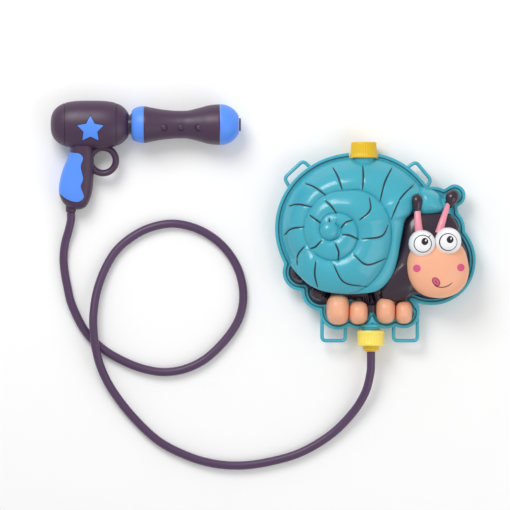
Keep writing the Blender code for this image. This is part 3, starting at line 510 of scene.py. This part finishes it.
def camera():
    """Looks straight down on the set, as it is laid out."""
    lens = bpy.data.cameras.new("camera")
    lens.lens = 600
    lens.sensor_width = 36
    view_width, middle = 0.612, (-0.00985, -0.0346)
    eye = bpy.data.objects.new("camera", lens)
    eye.location = (middle[0], middle[1], view_width * lens.lens / lens.sensor_width)
    bpy.context.scene.collection.objects.link(eye)
    bpy.context.scene.camera = eye


def hose():
    roll = Matrix.Rotation(GUN_ROLL, 3, "X")
    start = GUN_AT / MM + roll @ Vector((FITTING_AT, FITTING_END - 0.6, 0))
    end = POLE / MM + Vector((OUTLET_X, -146.8, PARTING))
    route = [start, start + roll @ Vector((0, -9, 0)), *HOSE_ROUTE, end - Y * 12, end]
    path = spline([tuple(p) for p in route], HOSE_POINTS) * MM
    curve = bpy.data.curves.new("hose_tube", "CURVE")
    curve.dimensions = "3D"
    curve.bevel_depth = HOSE_R * MM
    curve.bevel_resolution = 10
    curve.use_fill_caps = True
    line = curve.splines.new("POLY")
    line.points.add(len(path) - 1)
    for point, spot in zip(line.points, path):
        point.co = (*spot, 1)
    line.use_smooth = True
    curve.materials.append(LOOKS["hose"])
    tube = bpy.data.objects.new("hose_tube", curve)
    bpy.context.scene.collection.objects.link(tube)
    settle_in([tube], ["hose"])


# ---------------------------------------------------------------- tank


def depth(x, y):
    """How far inside the tank's outline a point is: a rounded union of the discs."""
    reach = np.array([r - np.hypot(x - cx, y - cy) for cx, cy, r in RIM_DISCS.values()])
    top = reach.max(axis=0)
    return top + np.log(np.exp(reach - top).sum(axis=0))


def reach_at(inset, centre, angles, low=40.0, high=180.0):
    """Distance from the centre, along each ray, to where the depth is the inset."""
    low, high = np.full_like(angles, low), np.full_like(angles, high)
    for _ in range(34):
        middle = (low + high) / 2
        inside = depth(centre[0] + middle * np.cos(angles), centre[1] + middle * np.sin(angles)) > inset
        low, high = np.where(inside, middle, low), np.where(inside, high, middle)
    return low


def rim_angles():
    """Rays that meet the outline at even spacing."""
    angles = np.linspace(0, 2 * pi, 2880, endpoint=False)
    reach = reach_at(0.0, RIM_CENTRE, angles)
    x, y = reach * np.cos(angles), reach * np.sin(angles)
    along = np.concatenate([[0], np.cumsum(np.hypot(np.diff(x), np.diff(y)))])
    return np.interp(np.linspace(0, along[-1], RIM_RAYS, endpoint=False), along, angles)


def rim_ring(inset, height, angles, arched=1.0):
    """One closed line of the rim, lifted where the outlet's neck passes below it."""
    reach = reach_at(inset, RIM_CENTRE, angles)
    x = RIM_CENTRE[0] + reach * np.cos(angles)
    y = RIM_CENTRE[1] + reach * np.sin(angles)
    over_neck = np.clip(1 - ((x - OUTLET_X) / 13.0) ** 2, 0, 1) ** 2 * (y < -80)
    return np.c_[x, y, height + arched * 8.0 * over_neck]


def neck_cutters(look):
    """The room that the filler neck and its cap take from the moulded forms."""
    at = (FILLER_X, 0, PARTING)
    return [
        turned("filler_room", [(60, 0), (60, 13.2), (120, 13.2), (120, 0)], Y, ON_TANK, look, at, 64),
        turned("cap_room", [(84.9, 0), (84.9, 17.7), (125, 17.7), (125, 0)], Y, ON_TANK, look, at, 64),
    ]


def rim_and_back():
    angles = rim_angles()
    rings = [rim_ring(inset, height, angles) for inset, height in LIP_PROFILE]
    rim = lofted("front_rim", rings, ON_TANK, "teal", wrap=True)
    # A dark strip laid in the rim's groove: painted shade.
    rings = [rim_ring(inset, height, angles) for inset, height in RIM_GROOVE_SHADE]
    groove_shade = lofted("rim_groove_shade", rings, ON_TANK, "teal_dark", wrap=True)
    rings = [rim_ring(inset, height, angles, arched=0.0) for inset, height in BACK_PROFILE]
    back = lofted("back_shell", rings, ON_TANK, "teal")
    for cutter in neck_cutters("teal"):
        combine(rim, "DIFFERENCE", cutter, keep=True)
        combine(groove_shade, "DIFFERENCE", cutter, keep=True)
        combine(back, "DIFFERENCE", cutter)
    spigot = turned("spigot_room", [(-94, 0), (-94, 8.2), (-125, 8.2), (-125, 0)], Y, ON_TANK, "teal",
                    (OUTLET_X, 0, PARTING), 64)
    combine(back, "DIFFERENCE", spigot)
    loops = []
    for number, corners in enumerate(LOOPS):
        path = []
        for before, corner, after in zip(corners, corners[1:], corners[2:]):
            before, corner, after = Vector(before), Vector(corner), Vector(after)
            start = corner + (before - corner).normalized() * LOOP_CORNER
            end = corner + (after - corner).normalized() * LOOP_CORNER
            for t in np.linspace(0, 1, 9).tolist():
                path.append((1 - t) ** 2 * start + 2 * t * (1 - t) * corner + t**2 * end)
        path = [Vector(corners[0]), *path, Vector(corners[-1])]
        line = np.array([(p.x, p.y, LOOP_Z) for p in path])
        along = np.concatenate([[0], np.cumsum(np.linalg.norm(np.diff(line, axis=0), axis=1))])
        wanted = np.linspace(0, along[-1], 90)
        line = np.stack([np.interp(wanted, along, column) for column in line.T], axis=1)
        loops.append(swept(f"strap_loop_{number + 1}", line, LOOP_R, LOOP_R, "teal"))
    settle_in([rim, groove_shade], ["tank_front_shell"])
    settle_in([back], ["tank_back_shell"])
    settle_in(loops)


def suture(turn):
    knots = spline(SUTURE, 400)
    return np.where(turn < SUTURE[0][0], 0.0, np.interp(turn, knots[:, 0], knots[:, 1]))


def shell_reach(direction):
    """Distance from the pole to the shell's edge, for directions in degrees."""
    direction = (np.asarray(direction) + 180) % 360 - 180
    at_rim = reach_at(SHELL_INSET, (0.0, 0.0), np.radians(direction), 30.0, 125.0)
    turn = np.radians(direction)
    cx, cy, r = RIM_DISCS["shell_top"]
    behind = cx * np.cos(turn) + cy * np.sin(turn)
    at_crown = behind + np.sqrt(behind**2 - cx**2 - cy**2 + (r - SHELL_INSET) ** 2)
    edge = np.where((direction > -60) & (direction < 60), at_crown, at_rim)
    knots = spline(LIP_EDGE, 300)
    free = (direction > LIP_EDGE[0][0]) & (direction < LIP_EDGE[-1][0])
    return np.where(free, np.minimum(np.interp(direction, knots[:, 0], knots[:, 1]), edge), edge)


def eased(value):
    value = np.clip(value, 0, 1)
    return value * value * (3 - 2 * value)


def shell_edge_height(direction):
    """The shell's edge meets the rim's groove, but stands on the body along its free side."""
    direction = (np.asarray(direction) + 180) % 360 - 180
    free = eased((direction + 150) / 26) * eased((30 - direction) / 22)
    return FOOT_Z + (FREE_EDGE_Z - FOOT_Z) * free


def whorl_profile(w):
    rising = np.sin(np.clip(w / 0.45, 0, 1) * pi / 2) ** 0.8
    falling = np.sqrt(np.clip(1 - ((w - 0.45) / 0.55) ** 2, 0, 1))
    return np.where(w < 0.45, rising, falling)


def groove(x, y, lines, half_wide, deep):
    """How far the growth lines are pressed into the shell at each point."""
    nearest = np.full(x.shape, 99.0)
    for line in lines:
        for px, py in line:
            nearest = np.minimum(nearest, np.hypot(x - px, y - py))
    return deep * np.exp(-((nearest / half_wide) ** 2))


def shell_surface(turn, w):
    """Points of the shell, from the total turn in degrees and the place across the whorl."""
    direction = SPIRAL_START - turn
    edge = shell_reach(direction)
    inner = np.minimum(suture(turn - 360), edge)
    outer = np.where(turn < SUTURE_END, np.minimum(suture(turn), edge), edge)
    reach = inner + (outer - inner) * w
    rim_z = shell_edge_height(direction)
    height = rim_z + (SHELL_CROWN - rim_z) * (1 - (reach / edge) ** 2.3)
    height = height + 0.19 * np.minimum(outer - inner, 46.0) * whorl_profile(w)
    return reach * np.cos(np.radians(direction)), reach * np.sin(np.radians(direction)), height


def shell():
    turns = np.arange(-360.0, SUTURE_END + 360.0, 0.6)
    across = np.concatenate([np.linspace(0, 0.45, 13)[:-1], 0.45 + 0.55 * np.sin(np.linspace(0, pi / 2, 17))])
    turn, w = np.meshgrid(turns, across, indexing="ij")
    x, y, z = shell_surface(turn, w)
    lines = [spline(points, 30) for points in GROWTH_LINES]
    lines.append(spline(APEX_LINE, 14))
    z = z - groove(x, y, lines, 1.5, LINE_DEPTH)
    z = np.c_[z, z[:, -1] - 12.0]
    x = np.c_[x, x[:, -1]]
    y = np.c_[y, y[:, -1]]
    columns = x.shape[1]
    points = np.stack([x, y, z], axis=2).reshape(-1, 3)
    faces = []
    for i in range(len(turns) - 1):
        for j in range(columns - 1):
            a = i * columns + j
            faces.append((a, a + 1, a + columns + 1, a + columns))
    spiral = piece("spiral_shell", points, faces, ON_TANK, "teal", angle=60)
    apex = Mound(oval((-5.0, -2.2), 11.6, 11.6), 69.0, 60.0, fullness=2.2).make("shell_apex", "teal")
    # Dark strips at the bottom of the growth lines' grooves: painted shade.
    groove_shades = []
    for line in lines:
        path = np.c_[line, shell_height_at(line) - LINE_DEPTH + 0.45]
        wide = rounded_ends(len(path), 1.2, 0.5)
        groove_shades.append(swept("line", path, wide, np.full(len(path), 0.3), "teal_dark", sides=8))
    groove_shades = join("growth_line_shade", groove_shades)
    for cutter in neck_cutters("teal"):
        combine(spiral, "DIFFERENCE", cutter)
    settle_in([spiral, apex])
    settle_in([groove_shades])


def shell_height_at(line):
    """The height of the shell's skin at each point of a line, before the line is pressed in."""
    heights = []
    for x, y in line:
        reach = float(np.hypot(x, y))
        turn = SPIRAL_START - float(np.degrees(np.arctan2(y, x)))
        found = BODY_TOP
        while turn > SUTURE[0][0]:
            turn -= 360
        for _ in range(5):
            edge = float(shell_reach(SPIRAL_START - turn))
            inner = min(float(suture(turn - 360)), edge)
            outer = min(float(suture(turn)), edge) if turn < SUTURE_END else edge
            if inner <= reach <= outer and outer > inner:
                w = np.array((reach - inner) / (outer - inner))
                found = max(found, float(shell_surface(np.array(turn), w)[2]))
            turn += 360
        heights.append(found)
    return np.convolve(np.pad(heights, 2, mode="edge"), np.ones(5) / 5, mode="valid")


def body_skin(x, y):
    inside = depth(np.asarray(x, float), np.asarray(y, float))
    top = BODY_TOP - 9.0 * eased((-80 - np.asarray(y)) / 12.0)
    return FOOT_Z + (top - FOOT_Z) * eased((inside - SHELL_INSET) / 7.0) ** 0.6


def body():
    angles = rim_angles()
    rings = [rim_ring(SHELL_INSET + 0.5, 21.0, angles)]
    for inset in (0.5, 0.8, 1.2, 1.8, 2.6, 3.6, 5.0, 6.6, 8.4, 10.4, 13.0, 17.0):
        ring = rim_ring(SHELL_INSET + inset, 21.4, angles, arched=max(0.0, 1 - inset / 6))
        x, y = ring[:, 0], ring[:, 1]
        covered = np.hypot(x, y) < shell_reach(np.degrees(np.arctan2(y, x))) - 2.5
        ring[:, 2] = np.maximum(ring[:, 2], np.where(covered, FOOT_Z, body_skin(x, y)))
        over_spigot = np.sqrt(np.clip(11.0**2 - (x - OUTLET_X) ** 2, 0, None)) * (y < -90)
        ring[:, 2] = np.maximum(ring[:, 2], PARTING + over_spigot)
        rings.append(ring)
    low = lofted("body_front", rings, ON_TANK, "body")
    for cutter in neck_cutters("body"):
        combine(low, "DIFFERENCE", cutter)
    low.data.materials.append(LOOKS["teal"])
    for polygon in low.data.polygons:
        if polygon.center.y > POLE.y + TEAL_ABOVE * MM:
            polygon.material_index = 1
    crease = stroke("belly_crease", [(68.9, -76.4), (76.0, -77.6), (83.2, -76.2)], 0.8, body_skin, "ink")
    settle_in([low, crease])


HOOD_EDGE = [(56, -74), (60, -60), (70, -45), (80.2, -20), (85.6, 6.5), (93, 17.5), (106, 22.6),
             (120, 22.3), (131, 20.2), (141, 17), (149, 5), (151.5, -8), (152, -30), (143, -60),
             (124, -76), (96, -79), (84, -85), (62, -86)]
FACE_EDGE = [(88.0, -46), (89.5, -32), (96, -21), (110, -15), (130, -13), (147, -15.5), (156, -24),
             (160.6, -38), (161.8, -51), (158.8, -64), (150, -75), (137.5, -81), (124, -82.4),
             (110.5, -80), (98.8, -73), (91, -61)]
COLLAR_EDGE = [(92, 22), (97, 40), (104, 50.5), (114, 48.5), (124, 45), (131, 38), (134.5, 27),
               (133, 19), (118, 14), (100, 14)]
HOOD = Mound(spline(HOOD_EDGE, 160, closed=True), 46.5, 33.0, centre=(106, -32), fullness=3.4)
FACE = Mound(spline(FACE_EDGE, 160, closed=True), 62.0, 44.0, centre=(125, -49), fullness=2.6)
EYES = [Mound(oval((105.8, -17.3), 16.1, 16.2, 2.05), 68.0, 53.0, fullness=2.1),
        Mound(oval((136.9, -14.6), 15.8, 16.6, 2.05), 68.6, 52.0, fullness=2.1)]
# Each foot's centre, half widths and height.
FEET = [((5.5, -95.7), 13.9, 18.9, 48.0), ((30.3, -99.8), 11.6, 14.2, 44.5),
        ((62.9, -97.1), 11.8, 15.8, 47.0), ((84.5, -99.5), 10.2, 13.8, 44.0)]
TONGUE_AT, TONGUE_TILT = (122.4, -62.9), 38


def face():
    pieces = [HOOD.make("hood", "body", skirt=12.0), FACE.make("face", "peach", skirt=21.0)]
    settle_in(pieces[:1])
    settle_in(pieces[1:])
    feet = []
    for number, (centre, half_x, half_y, top) in enumerate(FEET):
        foot = Mound(oval(centre, half_x, half_y, 2.7), top, 24.0, fullness=2.5)
        feet.append(foot.make(f"foot_{number + 1}", "peach"))
    settle_in(feet)
    eyes, inks = [], []
    spots = [((106.4, -17.6), (108.8, -14.9)), ((137.0, -15.6), (138.9, -12.6))]
    for side, eye, (ring_at, pupil_at) in zip(("left", "right"), EYES, spots):
        eyes.append(eye.make(f"eye_{side}", "eye", skirt=16.0))
        ring = oval(ring_at, 10.2, 9.9, count=73)
        ring = np.vstack([ring, ring[:1]])
        path = np.c_[ring, eye.height(*ring.T) + 0.02]
        heavy = 0.65 if side == "left" else 0.7 - 0.35 * np.cos(np.linspace(0, 2 * pi, len(path)))
        inks.append(swept(f"eye_ring_{side}", path, heavy, 0.25, "ink", sides=8))
        inks.append(patch(f"pupil_{side}", oval(pupil_at, 4.1, 4.3), eye.height, 0.5, "ink"))
        glint = oval((pupil_at[0] + 1.2, pupil_at[1] + 1.3), 0.9, 1.3, tilt=-20)
        eyes.append(patch(f"glint_{side}", glint, lambda x, y, e=eye: e.height(x, y) + 0.5, 0.12, "eye"))
    lash = [(112.6, -9.9), (114.2, -8.9), (115.6, -7.2)]
    inks.append(stroke("lash", lash, 0.5, EYES[0].height, "ink"))
    settle_in(eyes)
    settle_in(inks)
    cheeks = [patch(f"cheek_{side}", oval(spot, 4.6, 4.6), FACE.height, 0.25, "cheek")
              for side, spot in (("left", (99.5, -47.0)), ("right", (152.0, -46.0)))]
    tongue = patch("tongue", oval(TONGUE_AT, 3.3, 5.0, tilt=TONGUE_TILT), FACE.height, 0.35, "cheek")
    rim = oval(TONGUE_AT, 3.7, 5.4, tilt=TONGUE_TILT, count=48)
    rim = np.vstack([rim, rim[:1]])
    lip = swept("tongue_line", np.c_[rim, FACE.height(*rim.T) + 0.05], 0.45, 0.3, "mouth", sides=8)
    curve = [(118.6, -64.4), (122.6, -68.2), (129.9, -69.4), (137.0, -67.4), (142.0, -63.4)]
    smile = stroke("smile", curve, 0.7, FACE.height, "mouth")
    fold = stroke("tongue_fold", [(121.4, -61.6), (122.6, -63.4), (123.2, -65.2)], 0.45,
                  lambda x, y: FACE.height(x, y) + 0.35, "mouth")
    settle_in([*cheeks, tongue, lip, smile, fold])


def feelers():
    """Two stalks that rise from the eyes, each ending in a dark knob, and the collar between them."""
    stalks = [
        ("left", [(102.9, -7.0, 47.0), (101.2, 6.0, 48.0), (100.4, 21.5, 45.0)], (5.3, 3.9)),
        ("right", [(126.2, -5.0, 46.0), (131.2, 12.0, 43.5), (138.0, 31.5, 33.0)], (5.0, 2.5)),
    ]
    pinks = []
    for side, path, (low, high) in stalks:
        line = spline(path, 40)
        wide = np.linspace(low, high, 40)
        pinks.append(swept(f"stalk_{side}", line, wide, wide * 1.05, "pink"))
    knobs = []
    tips = [
        ("left", [(100.4, 18.5, 45), (100.0, 30, 44), (100.4, 42.2, 43)], (4.4, 6.6)),
        ("right", [(137.6, 25.0, 31), (141.2, 35, 31), (146.4, 46.8, 30)], (6.2, 8.3)),
    ]
    for side, path, (low, high) in tips:
        line = spline(path, 40)
        along = np.linspace(0, 1, 40)
        swell = low + (high - low) * np.sin(np.clip(along / 0.7, 0, 1) * pi / 2) ** 2
        ends = rounded_ends(40, 1.0, 0.38 if side == "left" else 0.5)
        ends[:12] = np.maximum(ends[:12], 0.9 if side == "left" else 0.0)
        wide = swell * ends
        knobs.append(swept(f"feeler_knob_{side}", line, wide, wide, "body", sides=28))
    collar = Mound(spline(COLLAR_EDGE, 120, closed=True), 47.0, 22.0, centre=(114, 32), fullness=2.0)
    settle_in(pinks)
    settle_in(knobs)
    settle_in([collar.make("collar", "teal")])


def thread(name, start, end, radius, look, at, pitch=3.0):
    """A round-edged screw thread on a neck that runs along Y."""
    turns = abs(end - start) / pitch
    steps = int(turns * 48)
    way = 1 if end > start else -1
    rings = []
    for step in range(steps + 1):
        angle = 2 * pi * step / 48
        fade = min(1.0, step / 24, (steps - step) / 24)
        out = np.array([cos(angle), 0, sin(angle)])
        middle = np.array(at) + np.array([0, start + way * pitch * step / 48, 0])
        ring = [middle + out * (radius - 0.4 + reach * fade) + np.array([0, rise, 0])
                for reach, rise in ((0, -0.9), (0.9, -0.35), (0.9, 0.35), (0, 0.9))]
        rings.append(np.array(ring))
    return lofted(name, rings, ON_TANK, look, angle=70)


def necks():
    filler_at, outlet_at = (FILLER_X, 0, PARTING), (OUTLET_X, 0, PARTING)
    neck_profile = [(66, 10.5), (66, 14.6), (66.6, 15), (68, 15), (68.4, 14.6), (68.6, 13), (99.4, 13),
                    (100.2, 12.4), (100.2, 11.2), (99.8, 10.5)]
    neck = turned("filler_neck_fine", neck_profile, Y, ON_TANK, "teal", filler_at)
    ridge = thread("filler_thread", 88.0, 98.6, 13.0, "teal", filler_at)
    settle_in([neck, ridge], ["filler_neck"])
    cap_profile = [(102.6, 0), (102.6, 13.5), (85.6, 13.6), (85.6, 16.9), (85.9, 17.15), (87.2, 17.1),
                   (87.6, 16.6), (88.4, 16.3), (92.0, 15.95), (96.0, 15.6), (100.0, 15.25), (102.8, 15.0),
                   (103.7, 14.7), (104.2, 14.2), (104.4, 13.4), (104.4, 6.0), (104.4, 0)]
    cap = turned("filler_cap_fine", cap_profile, Y, ON_TANK, "yellow", filler_at, sides=288,
                 flutes=(36, 0.42, 88.0, 102.9))
    settle_in([cap], ["filler_cap"], "filler_cap")
    outlet_profile = [(-97, 6.3), (-97, 8), (-112.2, 8), (-113.2, 9.0), (-114.0, 11.3), (-114.8, 12.2),
                      (-117.4, 12.2), (-118.0, 11.4), (-118.4, 11.1), (-130.6, 11.1), (-131, 10.7),
                      (-131, 6.3)]
    outlet = turned("outlet_neck_fine", outlet_profile, Y, ON_TANK, "teal", outlet_at)
    ridge = thread("outlet_thread", -120.5, -130.0, 11.1, "teal", outlet_at, 2.8)
    settle_in([outlet, ridge], ["outlet_neck"])
    nut_profile = [(-121.3, 12.6), (-121.3, 15.2), (-121.7, 16.0), (-122.4, 16.5), (-125.2, 16.5),
                   (-125.6, 16.2), (-126.4, 16.2), (-136.4, 16.1), (-136.9, 16.4), (-138.4, 16.4),
                   (-139.4, 15.8), (-139.9, 14.9), (-139.9, 10.5), (-136.6, 10.5), (-136.6, 12.6)]
    nut = turned("outlet_nut_fine", nut_profile, Y, ON_TANK, "pale_yellow", outlet_at, sides=288,
                 flutes=(24, 0.4, 126.3, 136.5))
    settle_in([nut], ["outlet_nut"], "outlet_nut")
    tail_profile = [(-133.1, 3.0), (-133.1, 11.8), (-135.2, 11.8), (-135.3, 10.0), (-141.6, 10.0),
                    (-142.0, 9.6), (-142.6, 9.6), (-143.0, 10.0), (-144.6, 10.0), (-145.0, 9.6),
                    (-145.1, 7.1), (-146.3, 6.9), (-146.5, 6.6), (-146.5, 3.0)]
    tail = turned("hose_tail_fine", tail_profile, Y, ON_TANK, "yellow", outlet_at)
    settle_in([tail], ["hose_tail"])


# ---------------------------------------------------------------- pistol


def barrel_radius(u, inset=0.0):
    half, radius = BARREL_HALF - inset, BARREL_R - inset
    return radius * (1 - min(1.0, abs(u) / half) ** 3.2) ** (1 / 2.6)


def barrel_form(name, inset, start=None, end=None):
    """The barrel's solid form, closed at the stations given and crowded towards its round ends."""
    half = BARREL_HALF - inset
    start = -half if start is None else start
    end = half if end is None else end
    grid = half * np.sin(np.linspace(-pi / 2, pi / 2, 61))
    places = [start, *[u for u in grid if start + 0.2 < u < end - 0.2], end]
    profile = [(u, 0.0 if barrel_radius(u, inset) < 0.3 else barrel_radius(u, inset)) for u in places]
    if profile[0][1] > 0:
        profile.insert(0, (start, 0))
    if profile[-1][1] > 0:
        profile.append((end, 0))
    obj = turned(name, profile, X, UNPLACED, None, sides=112)
    obj.data.transform(Matrix.Diagonal((1, 1, BARREL_FLAT, 1)))
    return obj


def grip_form(name, inset):
    around, rings = 72, []
    for v, back, front, thick in spline(GRIP_SECTIONS, 54):
        half = max((front - back) / 2 - inset, 0.6)
        deep = max(thick - inset, 0.6)
        angles = 2 * pi * (np.arange(around) + 0.37) / around
        c, s = np.cos(angles), np.sin(angles)
        u = (back + front) / 2 + half * np.abs(c) ** 0.8 * np.sign(c)
        w = deep * np.abs(s) ** 0.8 * np.sign(s)
        rings.append(np.c_[u, np.full(around, v), w])
    return lofted(name, rings, UNPLACED, None)


def star_outline(radius, inner, soft=0.9):
    """Five points, the first straight up, with slightly rounded tips."""
    corners = []
    for step in range(10):
        angle = pi / 2 + step * pi / 5
        reach = radius if step % 2 == 0 else inner
        corners.append(Vector((STAR_AT[0] + reach * cos(angle), STAR_AT[1] + reach * sin(angle))))
    outline = []
    for i, corner in enumerate(corners):
        before, after = corners[i - 1], corners[(i + 1) % 10]
        start = corner + (before - corner).normalized() * soft
        end = corner + (after - corner).normalized() * soft
        for t in np.linspace(0, 1, 5).tolist():
            outline.append((1 - t) ** 2 * start + 2 * t * (1 - t) * corner + t * t * end)
    return [(p.x, p.y) for p in outline]


def inlay_outline(grow=0.0):
    outline = np.vstack([spline(INLAY, 90), INLAY_BACK])
    middle = np.array((-26.0, -62.0))
    out = outline - middle
    return outline + out / np.linalg.norm(out, axis=1)[:, None] * grow


def plate(name, outline, low, high):
    """A flat form between two levels across the pistol."""
    count = len(outline)
    rings = [np.c_[np.array(outline), np.full(count, low)], np.c_[np.array(outline), np.full(count, high)]]
    return lofted(name, rings, UNPLACED, None)


def on_gun(obj, look):
    """Moves a form made in the pistol's own axes to its place, and gives it its look."""
    obj.data.transform(ON_GUN)
    obj.data.materials.clear()
    obj.data.materials.append(LOOKS[look])
    return obj


def pistol_housing():
    whole = barrel_form("pistol_housing", 0.0, SEAM_REAR + 0.3, SEAM_FRONT - 0.3)
    rings = []
    for angle in np.linspace(0, 2 * pi, 96, endpoint=False):
        out = np.array([cos(angle), sin(angle), 0])
        turn = np.linspace(0, 2 * pi, 28, endpoint=False)[:, None]
        middle = np.array([*RING_AT, 0]) + out * (FINGER_R + RING_BAR)
        rings.append(middle + out * RING_BAR * np.cos(turn) + np.array([0, 0, 5.0]) * np.sin(turn))
    ring = lofted("finger_ring", rings, UNPLACED, None, wrap=True)
    combine(whole, "UNION", grip_form("grip", 0.0), ring)
    recess = plate("recess", star_outline(STAR_R + 1.2, STAR_INNER + 0.6), -40, 40)
    combine(recess, "DIFFERENCE", barrel_form("star_floor", 1.2))
    layer = plate("layer", inlay_outline(0.35), -30, 30)
    combine(layer, "DIFFERENCE", grip_form("inlay_floor", 1.4))
    combine(whole, "DIFFERENCE", recess, layer)
    parting = plate("parting", [(-90, -150), (90, -150), (90, 90), (-90, 90)], -0.16, 0.16)
    combine(parting, "DIFFERENCE", barrel_form("parting_floor", 0.8), grip_form("parting_grip", 0.8))
    combine(whole, "DIFFERENCE", parting)
    for u, v, floor in SCREW_SEATS:
        profile = [(-40, 0), (-40, SCREW_SEAT_R), (floor, SCREW_SEAT_R), (floor, 0)]
        seat = turned("seat", profile, Z, UNPLACED, None, (u, v, 0), 32)
        combine(whole, "DIFFERENCE", seat)
    on_gun(whole, "purple")
    settle_in([whole], ["housing_left", "housing_right"])
    rear = on_gun(barrel_form("rear_cap_fine", 0.0, end=SEAM_REAR - 0.3), "purple")
    front = on_gun(barrel_form("front_cap_fine", 0.0, start=SEAM_FRONT + 0.3), "purple")
    shadow = on_gun(barrel_form("seam_shadow", 0.8, SEAM_REAR - 1.0, SEAM_FRONT + 1.0), "seam")
    settle_in([rear], ["rear_cap"])
    settle_in([front], ["front_cap"])
    settle_in([shadow])


def badges():
    for side, low, high in (("left", 0.15, 60), ("right", -60, -0.15)):
        star = plate(f"star_{side}", star_outline(STAR_R, STAR_INNER), low, high)
        combine(star, "INTERSECT", barrel_form("proud", -0.45))
        combine(star, "DIFFERENCE", barrel_form("under", 1.0))
        soften(star, 0.45)
        inlay = plate(f"inlay_{side}", inlay_outline(), low, high)
        combine(inlay, "INTERSECT", grip_form("skin", -0.1))
        combine(inlay, "DIFFERENCE", grip_form("under", 1.2))
        soften(inlay, 0.35)
        settle_in([on_gun(star, "blue")], [f"star_badge_{side}"])
        settle_in([on_gun(inlay, "blue")], [f"grip_inlay_{side}"])


def pump():
    """The fixed cylinder with its key, the sliding foregrip round it, and the hose's collar."""
    profile = [(18, 10), (18, 12.9), (20.6, 12.9), (20.6, 11.75), (149.4, 11.75), (150, 11.2), (150, 10)]
    cylinder = turned("cylinder_fine", profile, X, ON_GUN, "dark")
    edge = [(48.2, 11.2), (148.0, 11.2), (148.0, 12.75), (147.6, 12.95), (48.6, 12.95), (48.2, 12.75)]
    key = on_gun(plate("key", edge, -1.2, 1.2), "dark")
    settle_in([cylinder, key], ["pump_cylinder"])
    rear = [(49.3, 12.3), (49.3, 14.2)]
    rear += [(49.3 + 14.7 * (1 - cos(a)), 14.2 + 8.0 * sin(a) ** 0.9)
             for a in np.linspace(0.12, pi / 2, 16)]
    rear += [(64.0, 19.5), (69, 18.2), (69, 16.6), (60, 17.6), (52.5, 14.0), (52.5, 12.3)]
    rear_cap = turned("grip_rear_cap", rear, X, ON_GUN, "blue")
    notch = plate("notch", [(45, 8), (58, 8), (58, 13.5), (45, 13.5)], -1.5, 1.5)
    combine(rear_cap, "DIFFERENCE", on_gun(notch, "blue"))
    outer = [(u, r) for u, r in spline(SLEEVE, 60)]
    inner = [(u, r - SLEEVE_WALL) for u, r in outer[::-1]]
    skin = [(64.4, 21.9), *outer[1:-1], (155.0, 24.2)]
    sleeve = turned("grip_sleeve", skin + inner, X, ON_GUN, "purple")
    bumps = []
    for number, (u, height) in enumerate(BUMPS):
        dome = [(height + rise, radius) for rise, radius in BUMP_DOME]
        at = (u, -1.8, 0)
        bumps.append(turned(f"grip_bump_{number + 1}", dome, Z, ON_GUN, "purple", at, 40))
    nose = [(NOSE_BASE + NOSE_LONG * sin(a), NOSE_R * cos(a)) for a in np.linspace(0, pi / 2, 40)
            if NOSE_BASE + NOSE_LONG * sin(a) < NOSE_FRONT]
    edge = NOSE_R * sqrt(1 - ((NOSE_FRONT - NOSE_BASE) / NOSE_LONG) ** 2)
    nose = [(NOSE_BASE, 20.2), (NOSE_BASE, 24.2), *nose[1:], (NOSE_FRONT, edge), (NOSE_FRONT, 4.6),
            (168.4, 4.6), (168.4, 6.8), (158, 6.8), (158, 9.4), (NOSE_BASE + 1, 9.4)]
    nose_cap = turned("grip_nose_cap", nose, X, ON_GUN, "blue")
    profile = [(178.0, 1.3), (178.0, 8.0), (179.2, 8.0), (179.9, 7.7), (180.2, 7.1), (180.2, 4.6),
               (179.6, 4.0), (179.6, 2.6), (179.0, 1.3)]
    tip = turned("nozzle_fine", profile, X, ON_GUN, "dark")
    settle_in([rear_cap], ["foregrip_rear_cap"], "foregrip")
    settle_in([sleeve, *bumps], ["foregrip_sleeve"], "foregrip")
    settle_in([nose_cap], ["foregrip_nose_cap"], "foregrip")
    settle_in([tip], ["nozzle_tip"], "foregrip")
    profile = [(-90, 1.8), (-90, 3.0), (-95, 3.0), (-95, 6.2), (-103.4, 6.2), (-104.6, 6.0), (-105.3, 5.6),
               (FITTING_END, 5.2), (FITTING_END, 1.8)]
    fitting = turned("hose_collar", profile, Y, ON_GUN, "purple", (FITTING_AT, 0, 0), 64)
    settle_in([fitting], ["grip_hose_fitting"])


# ---------------------------------------------------------------- studio


def studio():
    scene = bpy.context.scene
    scene.view_settings.view_transform = "Standard"
    scene.view_settings.look = "None"
    half = 3.0
    corners = np.array([(-half, -half, 0), (half, -half, 0), (half, half, 0), (-half, half, 0)]) / MM
    just_below = Matrix.Translation((0, 0, -0.0004))
    floor = piece("floor", corners, [(0, 1, 2, 3)], just_below, "floor")
    world = bpy.data.worlds.new("studio")
    scene.world = world
    world.use_nodes = True
    world.node_tree.nodes["Background"].inputs["Color"].default_value = (1, 1, 1, 1)
    world.node_tree.nodes["Background"].inputs["Strength"].default_value = 0.62
    lamps = [("key", (-0.55, 1.0, 1.3), 0.8, 15.0), ("fill", (1.0, -0.6, 1.1), 1.2, 5.0)]
    for name, place, size, power in lamps:
        lamp = bpy.data.lights.new(name, "AREA")
        lamp.size = size
        lamp.energy = power
        holder = bpy.data.objects.new(name, lamp)
        holder.location = place
        holder.rotation_euler = (-Vector(place)).to_track_quat("-Z", "Y").to_euler()
        scene.collection.objects.link(holder)


def main():
    camera()
    hose()
    dress_frame_nodes()
    rim_and_back()
    body()
    shell()
    face()
    feelers()
    necks()
    pistol_housing()
    badges()
    pump()
    studio()


main()
